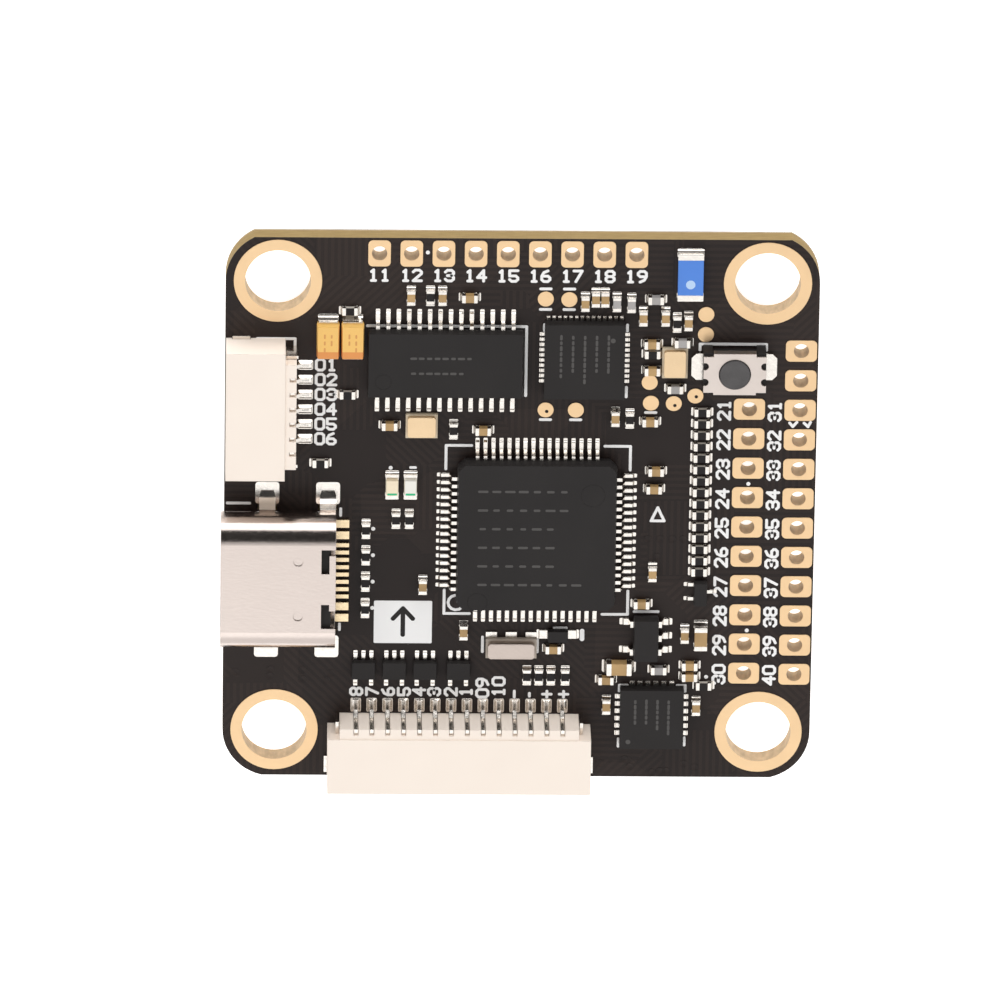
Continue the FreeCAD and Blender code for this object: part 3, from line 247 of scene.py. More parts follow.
def settled(name: str) -> bpy.types.Object:
    """Name the new primitive and put its place in its mesh.

    Args:
        name: Name of the object.

    Returns:
        The object.
    """
    piece = bpy.context.object
    piece.name = name
    bpy.ops.object.transform_apply(location=True, rotation=True, scale=True)
    return piece


def is_upright(edge: bmesh.types.BMEdge) -> bool:
    """True for an edge that runs along Z."""
    run = edge.verts[0].co - edge.verts[1].co
    return abs(run.z) > 1e-9 and abs(run.x) + abs(run.y) < 1e-6 * abs(run.z) + 1e-12


def round_uprights(piece: bpy.types.Object, radius: float, segments: int = 3) -> None:
    """Bevel the edges of a piece that run along Z.

    Args:
        piece: Object to shape.
        radius: Width of the bevel.
        segments: Steps round the bevel.
    """
    with editing(piece) as mesh:
        pick(mesh.edges, is_upright)
        bpy.ops.mesh.bevel(offset=radius, segments=segments)


def round_rim(piece: bpy.types.Object, radius: float, segments: int = 2) -> None:
    """Bevel the edges round the highest face of a piece.

    Args:
        piece: Object to shape.
        radius: Width of the bevel.
        segments: Steps round the bevel.
    """
    with editing(piece) as mesh:
        top = max(vertex.co.z for vertex in mesh.verts)
        span = top - min(vertex.co.z for vertex in mesh.verts)
        pick(mesh.edges, lambda edge: all(vertex.co.z > top - span * 1e-3 for vertex in edge.verts))
        bpy.ops.mesh.bevel(offset=radius, segments=segments)


def moved(piece: bpy.types.Object, matrix: Matrix) -> bpy.types.Object:
    """Apply a matrix to a piece's mesh.

    Args:
        piece: Object to move.
        matrix: The matrix, which may mirror the mesh.

    Returns:
        The same object.
    """
    piece.data.transform(matrix)
    if matrix.is_negative:
        piece.data.flip_normals()
    return piece


def joined(name: str, pieces: list[bpy.types.Object]) -> bpy.types.Object:
    """Join pieces into one object.

    Args:
        name: Name of the joined object.
        pieces: Objects to join.

    Returns:
        The first of the pieces, which now holds them all.
    """
    bpy.ops.object.select_all(action="DESELECT")
    for piece in pieces:
        piece.select_set(True)
    bpy.context.view_layer.objects.active = pieces[0]
    bpy.ops.object.join()
    pieces[0].name = name
    return pieces[0]


def copied(template: bpy.types.Object, spots: list[Matrix], name: str) -> bpy.types.Object:
    """Copy a template to every spot, each copy with its own mesh, and drop the template.

    Args:
        template: Finished model of the shape that repeats.
        spots: One matrix for each copy.
        name: Name of the joined object.

    Returns:
        The copies as one object.
    """
    made = []
    for spot in spots:
        twin = template.copy()
        twin.data = template.data.copy()
        bpy.context.scene.collection.objects.link(twin)
        made.append(moved(twin, spot))
    bpy.data.objects.remove(template)
    return joined(name, made)


def start_rod(radius: float) -> bpy.types.Object:
    """Template of a flat stroke: a low disc whose two halves are drawn apart to the stroke's length."""
    piece = start_disc("rod", radius, 1.0, 12)
    return moved(piece, Matrix.Rotation(math.radians(15), 4, "Z"))


def drawn_rod(template: bpy.types.Object, start: Vector, end: Vector, face: Face,
              tall: float) -> bpy.types.Object:
    """Copy a stroke template and draw it from one point to another.

    Args:
        template: Template made by start_rod, its radius in millimetres.
        start: First point, in millimetres.
        end: Last point, in millimetres.
        face: Face of the board that the stroke looks out of.
        tall: Height of the stroke above its points.

    Returns:
        The stroke as an object.
    """
    rod = template.copy()
    rod.data = template.data.copy()
    bpy.context.scene.collection.objects.link(rod)
    run = end - start
    for vertex in rod.data.vertices:
        if vertex.co.x > 0:
            vertex.co.x += run.length
    along = run if run.length > 1e-6 else Vector((1, 0, 0))
    return moved(rod, spot(start, along, face, (1, 1, tall)))


def spot(at: Iterable[float], along: Iterable[float], face: Face, scale: Iterable[float]) -> Matrix:
    """Matrix that places a unit model on a face of the board.

    Args:
        at: Place of the model's origin, in millimetres.
        along: Direction that the model's X axis takes.
        face: Face of the board that the model stands on.
        scale: Size of the model along its own axes, in millimetres.

    Returns:
        The matrix, in metres.
    """
    out = Vector(along).normalized()
    up = Vector((0, 0, face.value))
    side = up.cross(out)
    columns = Matrix((out, side, up)).transposed().to_4x4()
    return Matrix.Translation(Vector(at) * MM) @ columns @ Matrix.Diagonal((*(Vector(scale) * MM), 1))


def arc(x: float, y: float, radius: float, first: float = 0.0, last: float = 360.0,
        steps: int = 20) -> list[tuple[float, float]]:
    """Points along a circular arc on the board.

    Args:
        x: Middle of the circle along X.
        y: Middle of the circle along Y.
        radius: Radius of the circle.
        first: Angle of the first point, in degrees.
        last: Angle of the last point, in degrees.
        steps: Number of steps between them.

    Returns:
        The points.
    """
    turns = [math.radians(first + (last - first) * step / steps) for step in range(steps + 1)]
    return [(x + radius * math.cos(turn), y + radius * math.sin(turn)) for turn in turns]


def finish_piece(piece: bpy.types.Object, material: bpy.types.Material,
                 body: str = BOARD_BODY, smooth: float = 35.0) -> bpy.types.Object:
    """Shade a finished piece, give it its material and let it ride.

    Args:
        piece: Object whose mesh is finished.
        material: Its material.
        body: Body that it rides on.
        smooth: Angle in degrees below which edges are shaded smooth.

    Returns:
        The same object.
    """
    select_only(piece)
    bpy.ops.object.shade_smooth_by_angle(angle=math.radians(smooth))
    piece.data.materials.clear()
    piece.data.materials.append(material)
    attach(piece, body)
    log.info("%s: %d faces on %s", piece.name, len(piece.data.polygons), body)
    return piece


# ---------------------------------------------------------------- shader helpers

class Value:
    """A shader socket on which Python's arithmetic adds Math nodes."""

    def __init__(self, nodes: "Nodes", socket: bpy.types.NodeSocket) -> None:
        """Wrap one output socket."""
        self.nodes = nodes
        self.socket = socket

    def _math(self, operation: str, *terms: object) -> "Value":
        """Add a Math node with these terms."""
        return self.nodes.node("ShaderNodeMath", {"operation": operation}, dict(enumerate(terms)))

    def __add__(self, other: object) -> "Value":
        """Sum."""
        return self._math("ADD", self, other)

    def __radd__(self, other: object) -> "Value":
        """Sum with a number on the left."""
        return self._math("ADD", other, self)

    def __sub__(self, other: object) -> "Value":
        """Difference."""
        return self._math("SUBTRACT", self, other)

    def __rsub__(self, other: object) -> "Value":
        """Difference with a number on the left."""
        return self._math("SUBTRACT", other, self)

    def __mul__(self, other: object) -> "Value":
        """Product."""
        return self._math("MULTIPLY", self, other)

    def __rmul__(self, other: object) -> "Value":
        """Product with a number on the left."""
        return self._math("MULTIPLY", other, self)

    def __gt__(self, other: object) -> "Value":
        """One where this is the greater, else zero."""
        return self._math("GREATER_THAN", self, other)

    def __lt__(self, other: object) -> "Value":
        """One where this is the smaller, else zero."""
        return self._math("LESS_THAN", self, other)

    def __abs__(self) -> "Value":
        """Absolute value."""
        return self._math("ABSOLUTE", self)


class Nodes:
    """The nodes of one material or world while they are laid down."""

    def __init__(self, tree: bpy.types.NodeTree) -> None:
        """Start on a node tree."""
        self.tree = tree

    def node(self, kind: str, settings: dict | None = None, inputs: dict | None = None,
             output: int | str = 0) -> Value:
        """Add a node.

        Args:
            kind: Blender's type name of the node.
            settings: Properties, set before the sockets.
            inputs: Socket names or numbers, with numbers, colours or values to link.
            output: Name or number of the socket that is wanted.

        Returns:
            The wanted output.
        """
        made = self.tree.nodes.new(kind)
        for key, setting in (settings or {}).items():
            setattr(made, key, setting)
        for key, source in (inputs or {}).items():
            self.join(source, made.inputs[key])
        return Value(self, made.outputs[output])

    def join(self, source: object, socket: bpy.types.NodeSocket) -> None:
        """Link a value to a socket, or set a constant on it.

        Args:
            source: A value to link, or a number, colour or vector to set.
            socket: Socket that takes it.
        """
        if isinstance(source, Value):
            self.tree.links.new(source.socket, socket)
        else:
            socket.default_value = source

    def mix(self, factor: object, first: object, second: object) -> Value:
        """Colour between two colours."""
        colours = [c if isinstance(c, Value) else (*c, 1) for c in (first, second)]
        return self.node("ShaderNodeMix", {"data_type": "RGBA"}, {0: factor, 6: colours[0], 7: colours[1]}, 2)


class Surface(Nodes):
    """One material while its nodes are laid down."""

    def __init__(self, name: str) -> None:
        """Start a material with a Principled shader.

        Args:
            name: Name of the material.
        """
        self.material = bpy.data.materials.new(name)
        self.material.use_nodes = True
        super().__init__(self.material.node_tree)
        self.shader = self.tree.nodes["Principled BSDF"]

    def place(self, stretch: tuple[float, float, float] = (1, 1, 1)) -> Value:
        """Object coordinates in millimetres.

        Args:
            stretch: Factor on each axis.

        Returns:
            The coordinates as one vector.
        """
        coordinates = self.node("ShaderNodeTexCoord", output="Object")
        scale = tuple(s / MM for s in stretch)
        return self.node("ShaderNodeVectorMath", {"operation": "MULTIPLY"}, {0: coordinates, 1: scale})

    def axes(self) -> tuple[Value, Value, Value]:
        """The three object coordinates in millimetres."""
        first = self.node("ShaderNodeSeparateXYZ", None, {0: self.place()})
        return tuple(Value(self, output) for output in first.socket.node.outputs)

    def noise(self, scale: float, detail: float = 2.0,
              stretch: tuple[float, float, float] = (1, 1, 1)) -> Value:
        """Smooth noise from 0 to 1, its scale in cycles per millimetre."""
        return self.node("ShaderNodeTexNoise", None,
                         {"Vector": self.place(stretch), "Scale": scale, "Detail": detail}, "Fac")

    def patches(self, scale: float) -> Value:
        """Random value from 0 to 1 on each of many square patches.

        Args:
            scale: Patches per millimetre.

        Returns:
            The value.
        """
        settings = {"feature": "F1", "distance": "CHEBYCHEV"}
        inputs = {"Vector": self.place((1, 1, 0)), "Scale": scale}
        colour = self.node("ShaderNodeTexVoronoi", settings, inputs, "Color")
        return self.node("ShaderNodeSeparateColor", None, {0: colour}, 0)

    def stripes(self, distance: Value, pitch: float) -> Value:
        """One on every other half pitch along a distance, else zero."""
        return self.node("ShaderNodeMath", {"operation": "FRACT"}, {0: distance * (1 / pitch)}) > 0.5

    def band(self, value: Value, low: float, high: float) -> Value:
        """One between two limits, else zero."""
        return (value > low) * (value < high)

    def relief(self, height: Value, depth: float, corner: float = 0.0) -> None:
        """Bump the surface and soften its edges.

        Args:
            height: Relief from 0 to 1.
            depth: Depth of the relief, in millimetres.
            corner: Radius that edges catch the light with, in millimetres.
        """
        inputs = {"Height": height, "Distance": depth * MM, "Strength": 1.0}
        if corner:
            inputs["Normal"] = self.node("ShaderNodeBevel", {"samples": 4}, {"Radius": corner * MM}, "Normal")
        self.feed(Normal=self.node("ShaderNodeBump", None, inputs, "Normal"))

    def feed(self, **sources: object) -> None:
        """Link or set sockets of the shader.

        Args:
            sources: Socket names, an underscore for a space, with values, colours or numbers.
        """
        for key, source in sources.items():
            if isinstance(source, tuple) and len(source) == 3:
                source = (*source, 1)
            self.join(source, self.shader.inputs[key.replace("_", " ")])


# ---------------------------------------------------------------- finishes

Colour = tuple[float, float, float]


def shade(colour: Colour, factor: float) -> Colour:
    """A colour made lighter or darker."""
    return tuple(min(1.0, channel * factor) for channel in colour)


@dataclass(frozen=True)
class SolderMask:
    """Dark mask over copper tracks, with the bare laminate on the board's edge."""

    mask: Colour = (0.0165, 0.0108, 0.0096)
    copper: Colour = (0.040, 0.026, 0.021)
    laminate: Colour = (0.37, 0.26, 0.10)
    resin: Colour = (0.20, 0.13, 0.05)
    glass: Colour = (0.55, 0.50, 0.42)
    skin: float = 0.03
    fibre_band: float = 0.16
    track_pitch: float = 0.42
    bundle: float = 4.6
    shares: tuple[float, ...] = (0.08, 0.30, 0.48, 0.62, 0.74)
    pour: float = 9.0

    def tracks(self, surface: Surface) -> Value:
        """Bundles of parallel tracks, each patch of the board routed its own way.

        Args:
            surface: The material that they are drawn on.

        Returns:
            One on a track, else zero.
        """
        x, y, _ = surface.axes()
        turns = surface.patches(1 / self.bundle)
        diagonal = math.sqrt(0.5)
        bundles = [surface.stripes(distance, self.track_pitch) * surface.band(turns, low, high)
                   for distance, low, high in zip((y, x, (x + y) * diagonal, (x - y) * diagonal),
                                                  self.shares, self.shares[1:])]
        return sum(bundles[1:], bundles[0])

    def make(self) -> bpy.types.Material:
        """Build the material.

        Returns:
            The finished material.
        """
        surface = Surface("solder_mask")
        z = surface.axes()[2]
        edge = surface.band(z, BOARD.low.z + self.skin, BOARD.high.z - self.skin)
        tracks = self.tracks(surface)
        pour = surface.patches(1 / self.pour) > 0.55
        cloud = surface.noise(0.35, 3.0)
        masked = surface.mix(tracks * 0.30 + pour * 0.22 + cloud * 0.12, self.mask, self.copper)
        weave = surface.noise(5.0, 3.0, (0.25, 0.25, 2.0))
        fibre = surface.mix(weave, self.resin, self.laminate)
        lower = z < BOARD.low.z + self.fibre_band
        edged = surface.mix(lower * weave, fibre, self.glass)
        surface.feed(Base_Color=surface.mix(edge, masked, edged),
                     Roughness=edge * 0.30 + cloud * 0.10 + 0.40, Specular_IOR_Level=0.22)
        surface.relief(tracks * 0.5 + pour * 0.5 + surface.noise(6.0) * 0.2, 0.012)
        return surface.material


@dataclass(frozen=True)
class PlatedGold:
    """Gold on the copper lands; down the drilled barrels it is painted darker brown, as painted shade in the
    holes.
    """

    land: Colour = (0.88, 0.62, 0.36)
    # Colour of the painted shade on the hole walls, a darker brown than the gold of the lands.
    barrel: Colour = (0.56, 0.42, 0.26)

    def make(self) -> bpy.types.Material:
        """Build the material.

        Returns:
            The finished material.
        """
        surface = Surface("immersion_gold")
        z = surface.axes()[2]
        inside = surface.band(z, BOARD.low.z, BOARD.high.z)
        grain = surface.noise(9.0, 3.0)
        wall = surface.noise(3.0, 3.0, (1.0, 1.0, 0.4))
        land = surface.mix(surface.noise(0.7), shade(self.land, 0.9), self.land)
        # Painted shade: the barrel walls take a darker brown than the lands, mottled by noise into darker and
        # lighter painted shade.
        barrel = surface.mix(wall, shade(self.barrel, 0.6), shade(self.barrel, 1.4))
        surface.feed(Base_Color=surface.mix(inside, land, barrel), Metallic=inside * -0.35 + 0.85,
                     Roughness=inside * 0.15 + grain * 0.15 + 0.33)
        surface.relief(grain, 0.004, 0.02)
        return surface.material


@dataclass(frozen=True)
class Metal:
    """Plated or rolled metal."""

    name: str
    colour: Colour
    roughness: float = 0.32
    grain: float = 5.0
    stretch: tuple[float, float, float] = (1, 1, 1)
    uneven: float = 0.12
    depth: float = 0.006
    corner: float = 0.02
    metallic: float = 1.0
    tarnish: float = 0.86

    def make(self) -> bpy.types.Material:
        """Build the material.

        Returns:
            The finished material.
        """
        surface = Surface(self.name)
        grain = surface.noise(self.grain, 3.0, self.stretch)
        broad = surface.noise(0.7, 2.0)
        colour = surface.mix(broad, shade(self.colour, self.tarnish), self.colour)
        surface.feed(Base_Color=colour, Metallic=self.metallic,
                     Roughness=grain * self.uneven * 2 + (self.roughness - self.uneven))
        surface.relief(grain, self.depth, self.corner)
        return surface.material


@dataclass(frozen=True)
class Moulding:
    """Moulded plastic, fired ceramic or pressed powder."""

    name: str
    colour: Colour
    fleck: float = 1.25
    roughness: float = 0.5
    grain: float = 14.0
    depth: float = 0.003
    corner: float = 0.03
    coat: float = 0.0
    drift: float = 0.35
    gloss: float = 0.4

    def make(self) -> bpy.types.Material:
        """Build the material.

        Returns:
            The finished material.
        """
        surface = Surface(self.name)
        grain = surface.noise(self.grain, 4.0)
        broad = surface.noise(self.drift, 1.0)
        tone = surface.mix(broad, shade(self.colour, 1 / self.fleck), shade(self.colour, self.fleck))
        colour = surface.mix(grain * 0.5, tone, self.colour)
        surface.feed(Base_Color=colour, Roughness=grain * 0.2 + (self.roughness - 0.1),
                     Coat_Weight=self.coat, Coat_Roughness=0.12, Specular_IOR_Level=self.gloss)
        surface.relief(grain, self.depth, self.corner)
        return surface.material


@dataclass(frozen=True)
class FilmChip:
    """Chip resistor: a glazed film on top of a white ceramic body."""

    film: Colour = (0.012, 0.010, 0.010)
    ceramic: Colour = (0.62, 0.58, 0.52)
    tall: float = 0.31

    def make(self) -> bpy.types.Material:
        """Build the material.

        Returns:
            The finished material.
        """
        surface = Surface("resistor_film")
        height = surface.axes()[2] - BOARD.centre.z
        filmed = abs(height) > BOARD.size.z / 2 + self.tall
        speck = surface.noise(9.0, 2.0)
        film = surface.mix(speck, self.film, shade(self.film, 1.8))
        surface.feed(Base_Color=surface.mix(filmed, self.ceramic, film), Roughness=speck * 0.15 + 0.4,
                     Specular_IOR_Level=0.2)
        surface.relief(speck, 0.004, 0.02)
        return surface.material


@dataclass(frozen=True)
class BandedCase:
    """Moulded capacitor case with a printed band across one end."""

    case: Colour = (0.96, 0.58, 0.16)
    band: Colour = (0.78, 0.28, 0.07)
    share: float = 0.24
    clear: float = 0.05

    def printed(self, surface: Surface) -> Value:
        """Mask of the bands.

        Args:
            surface: The material that they are printed on.

        Returns:
            One on the band of each case, else zero.
        """
        axes = surface.axes()
        bands = []
        for case in solids_of("tantalum_capacitor_cases"):
            long = 0 if case.size.x > case.size.y else 1
            high = case.high.copy()
            high[long] = case.low[long] + case.size[long] * self.share
            inside = [surface.band(axes[i], case.low[i] - self.clear, high[i] + self.clear * (i != long))
                      for i in range(3)]
            bands.append(inside[0] * inside[1] * inside[2])
        return sum(bands[1:], bands[0])

    def make(self) -> bpy.types.Material:
        """Build the material.

        Returns:
            The finished material.
        """
        surface = Surface("tantalum_case")
        grain = surface.noise(10.0, 3.0)
        case = surface.mix(grain, shade(self.case, 0.92), self.case)
        surface.feed(Base_Color=surface.mix(self.printed(surface) * 0.9, case, self.band),
                     Roughness=grain * 0.2 + 0.4)
        surface.relief(grain, 0.006, 0.03)
        return surface.material


@dataclass(frozen=True)
class LampLens:
    """Clear lens of an indicator: the first lamp is warm, the second cool."""

    warm: Colour = (0.90, 0.74, 0.53)
    cool: Colour = (0.90, 0.88, 0.80)
    divide: float = -7.4

    def make(self) -> bpy.types.Material:
        """Build the material.

        Returns:
            The finished material.
        """
        surface = Surface("lamp_lens")
        cool = surface.axes()[0] > self.divide
        cloud = surface.noise(3.0, 2.0)
        warm = surface.mix(cloud, self.warm, shade(self.warm, 1.2))
        surface.feed(Base_Color=surface.mix(cool, warm, self.cool), Roughness=cloud * 0.1 + 0.08,
                     Coat_Weight=0.6, Coat_Roughness=0.05)
        surface.relief(cloud, 0.01, 0.03)
        return surface.material


TIN = Metal("tinned_metal", (0.86, 0.81, 0.75), roughness=0.20, grain=3.0, uneven=0.10, depth=0.010)
INK = Moulding("white_ink", (0.93, 0.92, 0.91), fleck=1.05, roughness=0.65, grain=12.0, depth=0.001,
               corner=0.0)
ETCH = Moulding("etched_mark", (0.080, 0.075, 0.072), fleck=1.2, roughness=0.75, grain=12.0, depth=0.001,
                corner=0.0)
PALE_BLUE = Moulding("pale_blue_ink", (0.50, 0.68, 0.93), fleck=1.05, corner=0.0)
GREEN = Moulding("green_ink", (0.05, 0.52, 0.24), fleck=1.1, corner=0.0)
BROWN = Moulding("brown_ink", (0.72, 0.34, 0.10), fleck=1.1, depth=0.001, corner=0.0)
# Dark colour of painted shade, laid where small drilled holes would be.
HOLE_SHADE = Moulding("hole_shadow", (0.02, 0.014, 0.012), fleck=1.3, roughness=0.8, corner=0.0)

FINISHES = {
    "board_laminate": SolderMask(),
    "gold_plating": PlatedGold(),
    "usb_steel": Metal("usb_steel", (0.585, 0.51, 0.47), roughness=0.19, grain=7.0, stretch=(0.5, 1, 1),
                       depth=0.002, corner=0.05, uneven=0.08, tarnish=0.96),
    "black_moulding": Moulding("black_moulding", (0.020, 0.0175, 0.017), roughness=0.55, gloss=0.22),
    "contact_gold": Metal("contact_gold", (0.93, 0.74, 0.48), roughness=0.30),
    "ivory_plastic": Moulding("ivory_plastic", (0.98, 0.865, 0.765), fleck=1.03, roughness=0.48, grain=8.0,
                              corner=0.06),
    "tinned_metal": TIN,
    "switch_cover_steel": Metal("switch_cover_steel", (0.70, 0.62, 0.57), roughness=0.38, grain=12.0,
                                depth=0.003, corner=0.04),
    "plunger_plastic": Moulding("plunger_plastic", (0.075, 0.07, 0.07), fleck=1.5, roughness=0.42, grain=6.0,
                                depth=0.012, corner=0.08, drift=1.2),
    "dome_steel": Metal("dome_steel", (0.70, 0.69, 0.67), roughness=0.25),
    "resistor_glaze": FilmChip(),
    "capacitor_ceramic": Moulding("capacitor_ceramic", (0.44, 0.28, 0.12), fleck=1.6, roughness=0.42,
                                  grain=9.0, drift=0.6),
    "bead_ferrite": Moulding("bead_ferrite", (0.36, 0.34, 0.33), fleck=1.5, roughness=0.3),
    "tantalum_moulding": BandedCase(),
    "led_base_white": Moulding("led_base", (0.75, 0.70, 0.58), fleck=1.05, roughness=0.4),
    "led_lens": LampLens(),
    "antenna_ceramic": Moulding("antenna_ceramic", (0.055, 0.22, 0.72), fleck=1.12, roughness=0.35, grain=4.0,
                                coat=0.5),
    "crystal_ceramic": Moulding("crystal_ceramic", (0.62, 0.52, 0.38), fleck=1.4, roughness=0.35),
    "crystal_lid_brass": Metal("crystal_lid", (0.78, 0.58, 0.36), roughness=0.33, grain=9.0, corner=0.06),
    "resonator_ceramic": Moulding("resonator_ceramic", (0.42, 0.36, 0.30), roughness=0.35),
    "resonator_lid_steel": Metal("resonator_lid", (0.56, 0.48, 0.43), roughness=0.34, grain=10.0,
                                 corner=0.08),
    "inductor_ferrite": Moulding("inductor_ferrite", (0.045, 0.045, 0.048), roughness=0.62, grain=10.0,
                                 depth=0.02, corner=0.06),
    "sensor_base": Moulding("sensor_base", (0.11, 0.075, 0.04), roughness=0.5),
    "sensor_lid_steel": Metal("sensor_lid", (0.70, 0.67, 0.62), roughness=0.3, corner=0.03),
}


class Palette:
    """The materials in use, each made once."""

    def __init__(self) -> None:
        """Start with no material."""
        self._made: dict[str, bpy.types.Material] = {}

    def of(self, finish: object) -> bpy.types.Material:
        """Material of a finish, made when it is first asked for.

        Args:
            finish: The finish.

        Returns:
            Its material.
        """
        key = repr(finish)
        if key not in self._made:
            self._made[key] = finish.make()
        return self._made[key]

    def dress_frame(self) -> None:
        """Give every CAD node the material of its slot in the record."""
        slots = {row["node"]: row["material_slot"] for row in frame["record"]["subparts"]}
        for node, piece in frame["nodes"].items():
            material = self.of(FINISHES[slots[node]])
            if not piece.material_slots:
                piece.data.materials.append(material)
            for holder in piece.material_slots:
                holder.material = material
            log.info("%s: dressed in %s", node, material.name)


# ---------------------------------------------------------------- ink

DIGIT_COLUMNS, DIGIT_ROWS = 4, 6
"""Steps across and up the grid that digits are drawn on."""

DIGITS = {
    "0": ["10 30 41 45 36 16 05 01 10"],
    "1": ["15 26 20", "10 30"],
    "2": ["05 16 36 45 44 00 40"],
    "3": ["05 16 36 45 44 33 42 41 30 10 01", "13 33"],
    "4": ["30 36 02 42"],
    "5": ["46 06 03 33 42 41 30 10 01"],
    "6": ["36 15 03 01 10 30 41 42 33 03"],
    "7": ["06 46 10"],
    "8": ["13 02 01 10 30 41 42 33 13 04 05 16 36 45 44 33"],
    "9": ["10 31 43 45 36 16 05 04 13 43"],
}
"""Strokes of each digit: every pair of figures is a column and a row of the grid."""


@dataclass(frozen=True)
class Label:
    """A printed number and the box that it fills, in millimetres."""

    text: str
    left: float
    right: float
    low: float
    high: float
    turned: bool = False


@dataclass
class Silkscreen:
    """White ink on the board: outlines of the pieces, dots, and plain numbers of pads and pins."""

    stroke: float = 0.185
    dot: float = 0.26
    cathode: float = 0.3
    ink_thick: float = 0.012
    ink_step: float = 0.003
    ink_steps: int = 5
    sink: float = 0.004
    text_height: float = 0.9
    number_long: float = 1.42
    under_gap: float = 1.26
    under_wide: float = 0.63
    frame_clear: float = 0.555
    row_gap: float = 0.6
    column_gap: float = 0.6
    column_drop: float = 0.1
    digit_gap: float = 0.42
    socket_number_x: float = -12.2
    pin_row: tuple[float, float] = (-12.95, -12.3)
    bar: float = 0.32
    plus: float = 0.27
    plus_rise: float = 0.2
    pin_one: tuple[float, float, float] = (-3.9, -6.5, 0.5)

    def lines(self) -> list[list[tuple[float, float]]]:
        """Strokes on the component face.

        Returns:
            Runs of points.
        """
        left, right, high, low, arm = -4.65, 6.88, 4.2, -7.25, 1.6
        runs = [
            [(left, high - arm), (left, high), (left + arm, high)],
            [(right - arm, high), (right, high), (right, high - arm)],
            [(left, low + arm), (left, low), (left + arm, low)],
            [(right - arm, low), (right, low), (right, low + arm)],
            [(-9.65, 12.25), (0.27, 12.25), (0.27, 7.6)],
            [(6.55, 12.0), (6.55, 12.4)],
            [(6.55, 7.55), (6.55, 8.2)],
            [(1.38, 12.0), (1.38, 12.4)],
            [(6.95, -12.1), (6.45, -12.1), (6.45, -12.5)],
            [(10.1, -12.1), (10.6, -12.1), (10.6, -12.5)],
            [(6.45, -15.8), (6.45, -16.3)],
            [(10.6, -15.7), (10.6, -16.2)],
            [(-16.5, 11.35), (-14.15, 11.35), (-14.15, 10.75)],
            [(-18.3, 0.2), (-16.9, 0.2)],
            [(-11.2, -0.15), (-11.2, -0.6)],
            [(-11.2, -8.0), (-11.2, -8.4)],
            [(-2.2, -8.85), (-2.2, -9.85)],
            [(1.25, -8.95), (1.25, -9.85)],
            [(2.3, -8.2), (3.05, -8.2)],
            [(7.3, -7.05), (8.8, -7.05)],
            [(11.1, 10.75), (11.1, 11.15), (15.25, 11.15), (15.25, 10.75)],
            [(-6.85, 2.68), (-6.55, 2.68)],
            [(16.8, 5.85), (17.0, 5.6), (17.25, 5.9)],
            [(17.7, 5.85), (17.95, 5.6), (18.1, 5.9)],
            [(8.25, -0.85), (8.66, 0.05), (9.07, -0.85), (8.25, -0.85)],
            [(-0.15, -12.55), (-0.15, -12.95)],
            [(0.8, -12.7), (0.8, -12.9)],
        ]
        for x, y in ((1.43, 14.8), (1.43, 13.42), (2.9, 14.8), (2.9, 13.42), (1.53, 5.98), (3.42, 5.98),
                     (8.1, 6.5)):
            runs.append([(x - self.bar, y), (x + self.bar, y)])
        for x, y in ((1.9, -12.75), (2.95, -12.75)):
            runs.append([(x - self.plus, y), (x + self.plus, y)])
            runs.append([(x, y - self.plus_rise), (x, y + self.plus_rise)])
        return runs

    def dots(self) -> list[tuple[float, float]]:
        """Round marks on the component face."""
        marks = [(-8.1, 2.65), (-5.95, 17.2), (14.3, 1.7), (14.4, -8.3), (11.9, -11.5)]
        return marks + [(-9.15, y) for y in (-1.5, -3.3, -5.1, -6.9)]

    def number(self, value: int, x: float, y: float, turned: bool = False) -> Label:
        """Two-digit number centred on a point.

        Args:
            value: The number.
            x: Middle of the number along X.
            y: Middle of the number along Y.
            turned: True where it reads up the board.

        Returns:
            The number in its box.
        """
        half_long, half_tall = self.number_long / 2, self.text_height / 2
        across, up = (half_tall, half_long) if turned else (half_long, half_tall)
        return Label(f"{value:02d}", x - across, x + across, y - up, y + up, turned)

    def pad_numbers(self) -> list[Label]:
        """Numbers beside the single row and the two columns of solder pads.

        Returns:
            The numbers in their boxes.
        """
        row = sorted(solids_of("top_row_pads"), key=lambda pad: pad.centre.x)
        labels = [self.number(value, pad.centre.x, pad.low.y - self.row_gap)
                  for value, pad in enumerate(row, start=11)]
        pads = sorted(solids_of("side_column_pads"), key=lambda pad: -pad.centre.y)
        divide = node_box("side_column_pads").centre.x
        clear = node_box("boot_switch_cover").low.y
        for first, outer in ((21, False), (31, True)):
            column = [pad for pad in pads if (pad.centre.x > divide) is outer and pad.high.y < clear]
            labels += [self.number(value, pad.low.x - self.column_gap, pad.centre.y - self.column_drop, True)
                       for value, pad in enumerate(column, start=first)]
        return labels

    def pin_numbers(self) -> list[Label]:
        """Numbers beside the pins of the two sockets.

        Returns:
            The numbers in their boxes.
        """
        pins = sorted(solids_of("side_socket_contacts"), key=lambda pin: -pin.centre.y)
        labels = [self.number(value, self.socket_number_x, pin.centre.y)
                  for value, pin in enumerate(pins, start=1)]
        low, high = self.pin_row
        half = self.text_height / 2
        for value, x in zip(range(8, 0, -1), (-10.1, -9.1, -8.1, -7.1, -6.15, -5.2, -4.15, -3.2)):
            labels.append(Label(str(value), x - half, x + half, low, high, True))
        return labels + [self.number(9, -2.17, -12.35, True), self.number(10, -1.15, -12.25, True)]

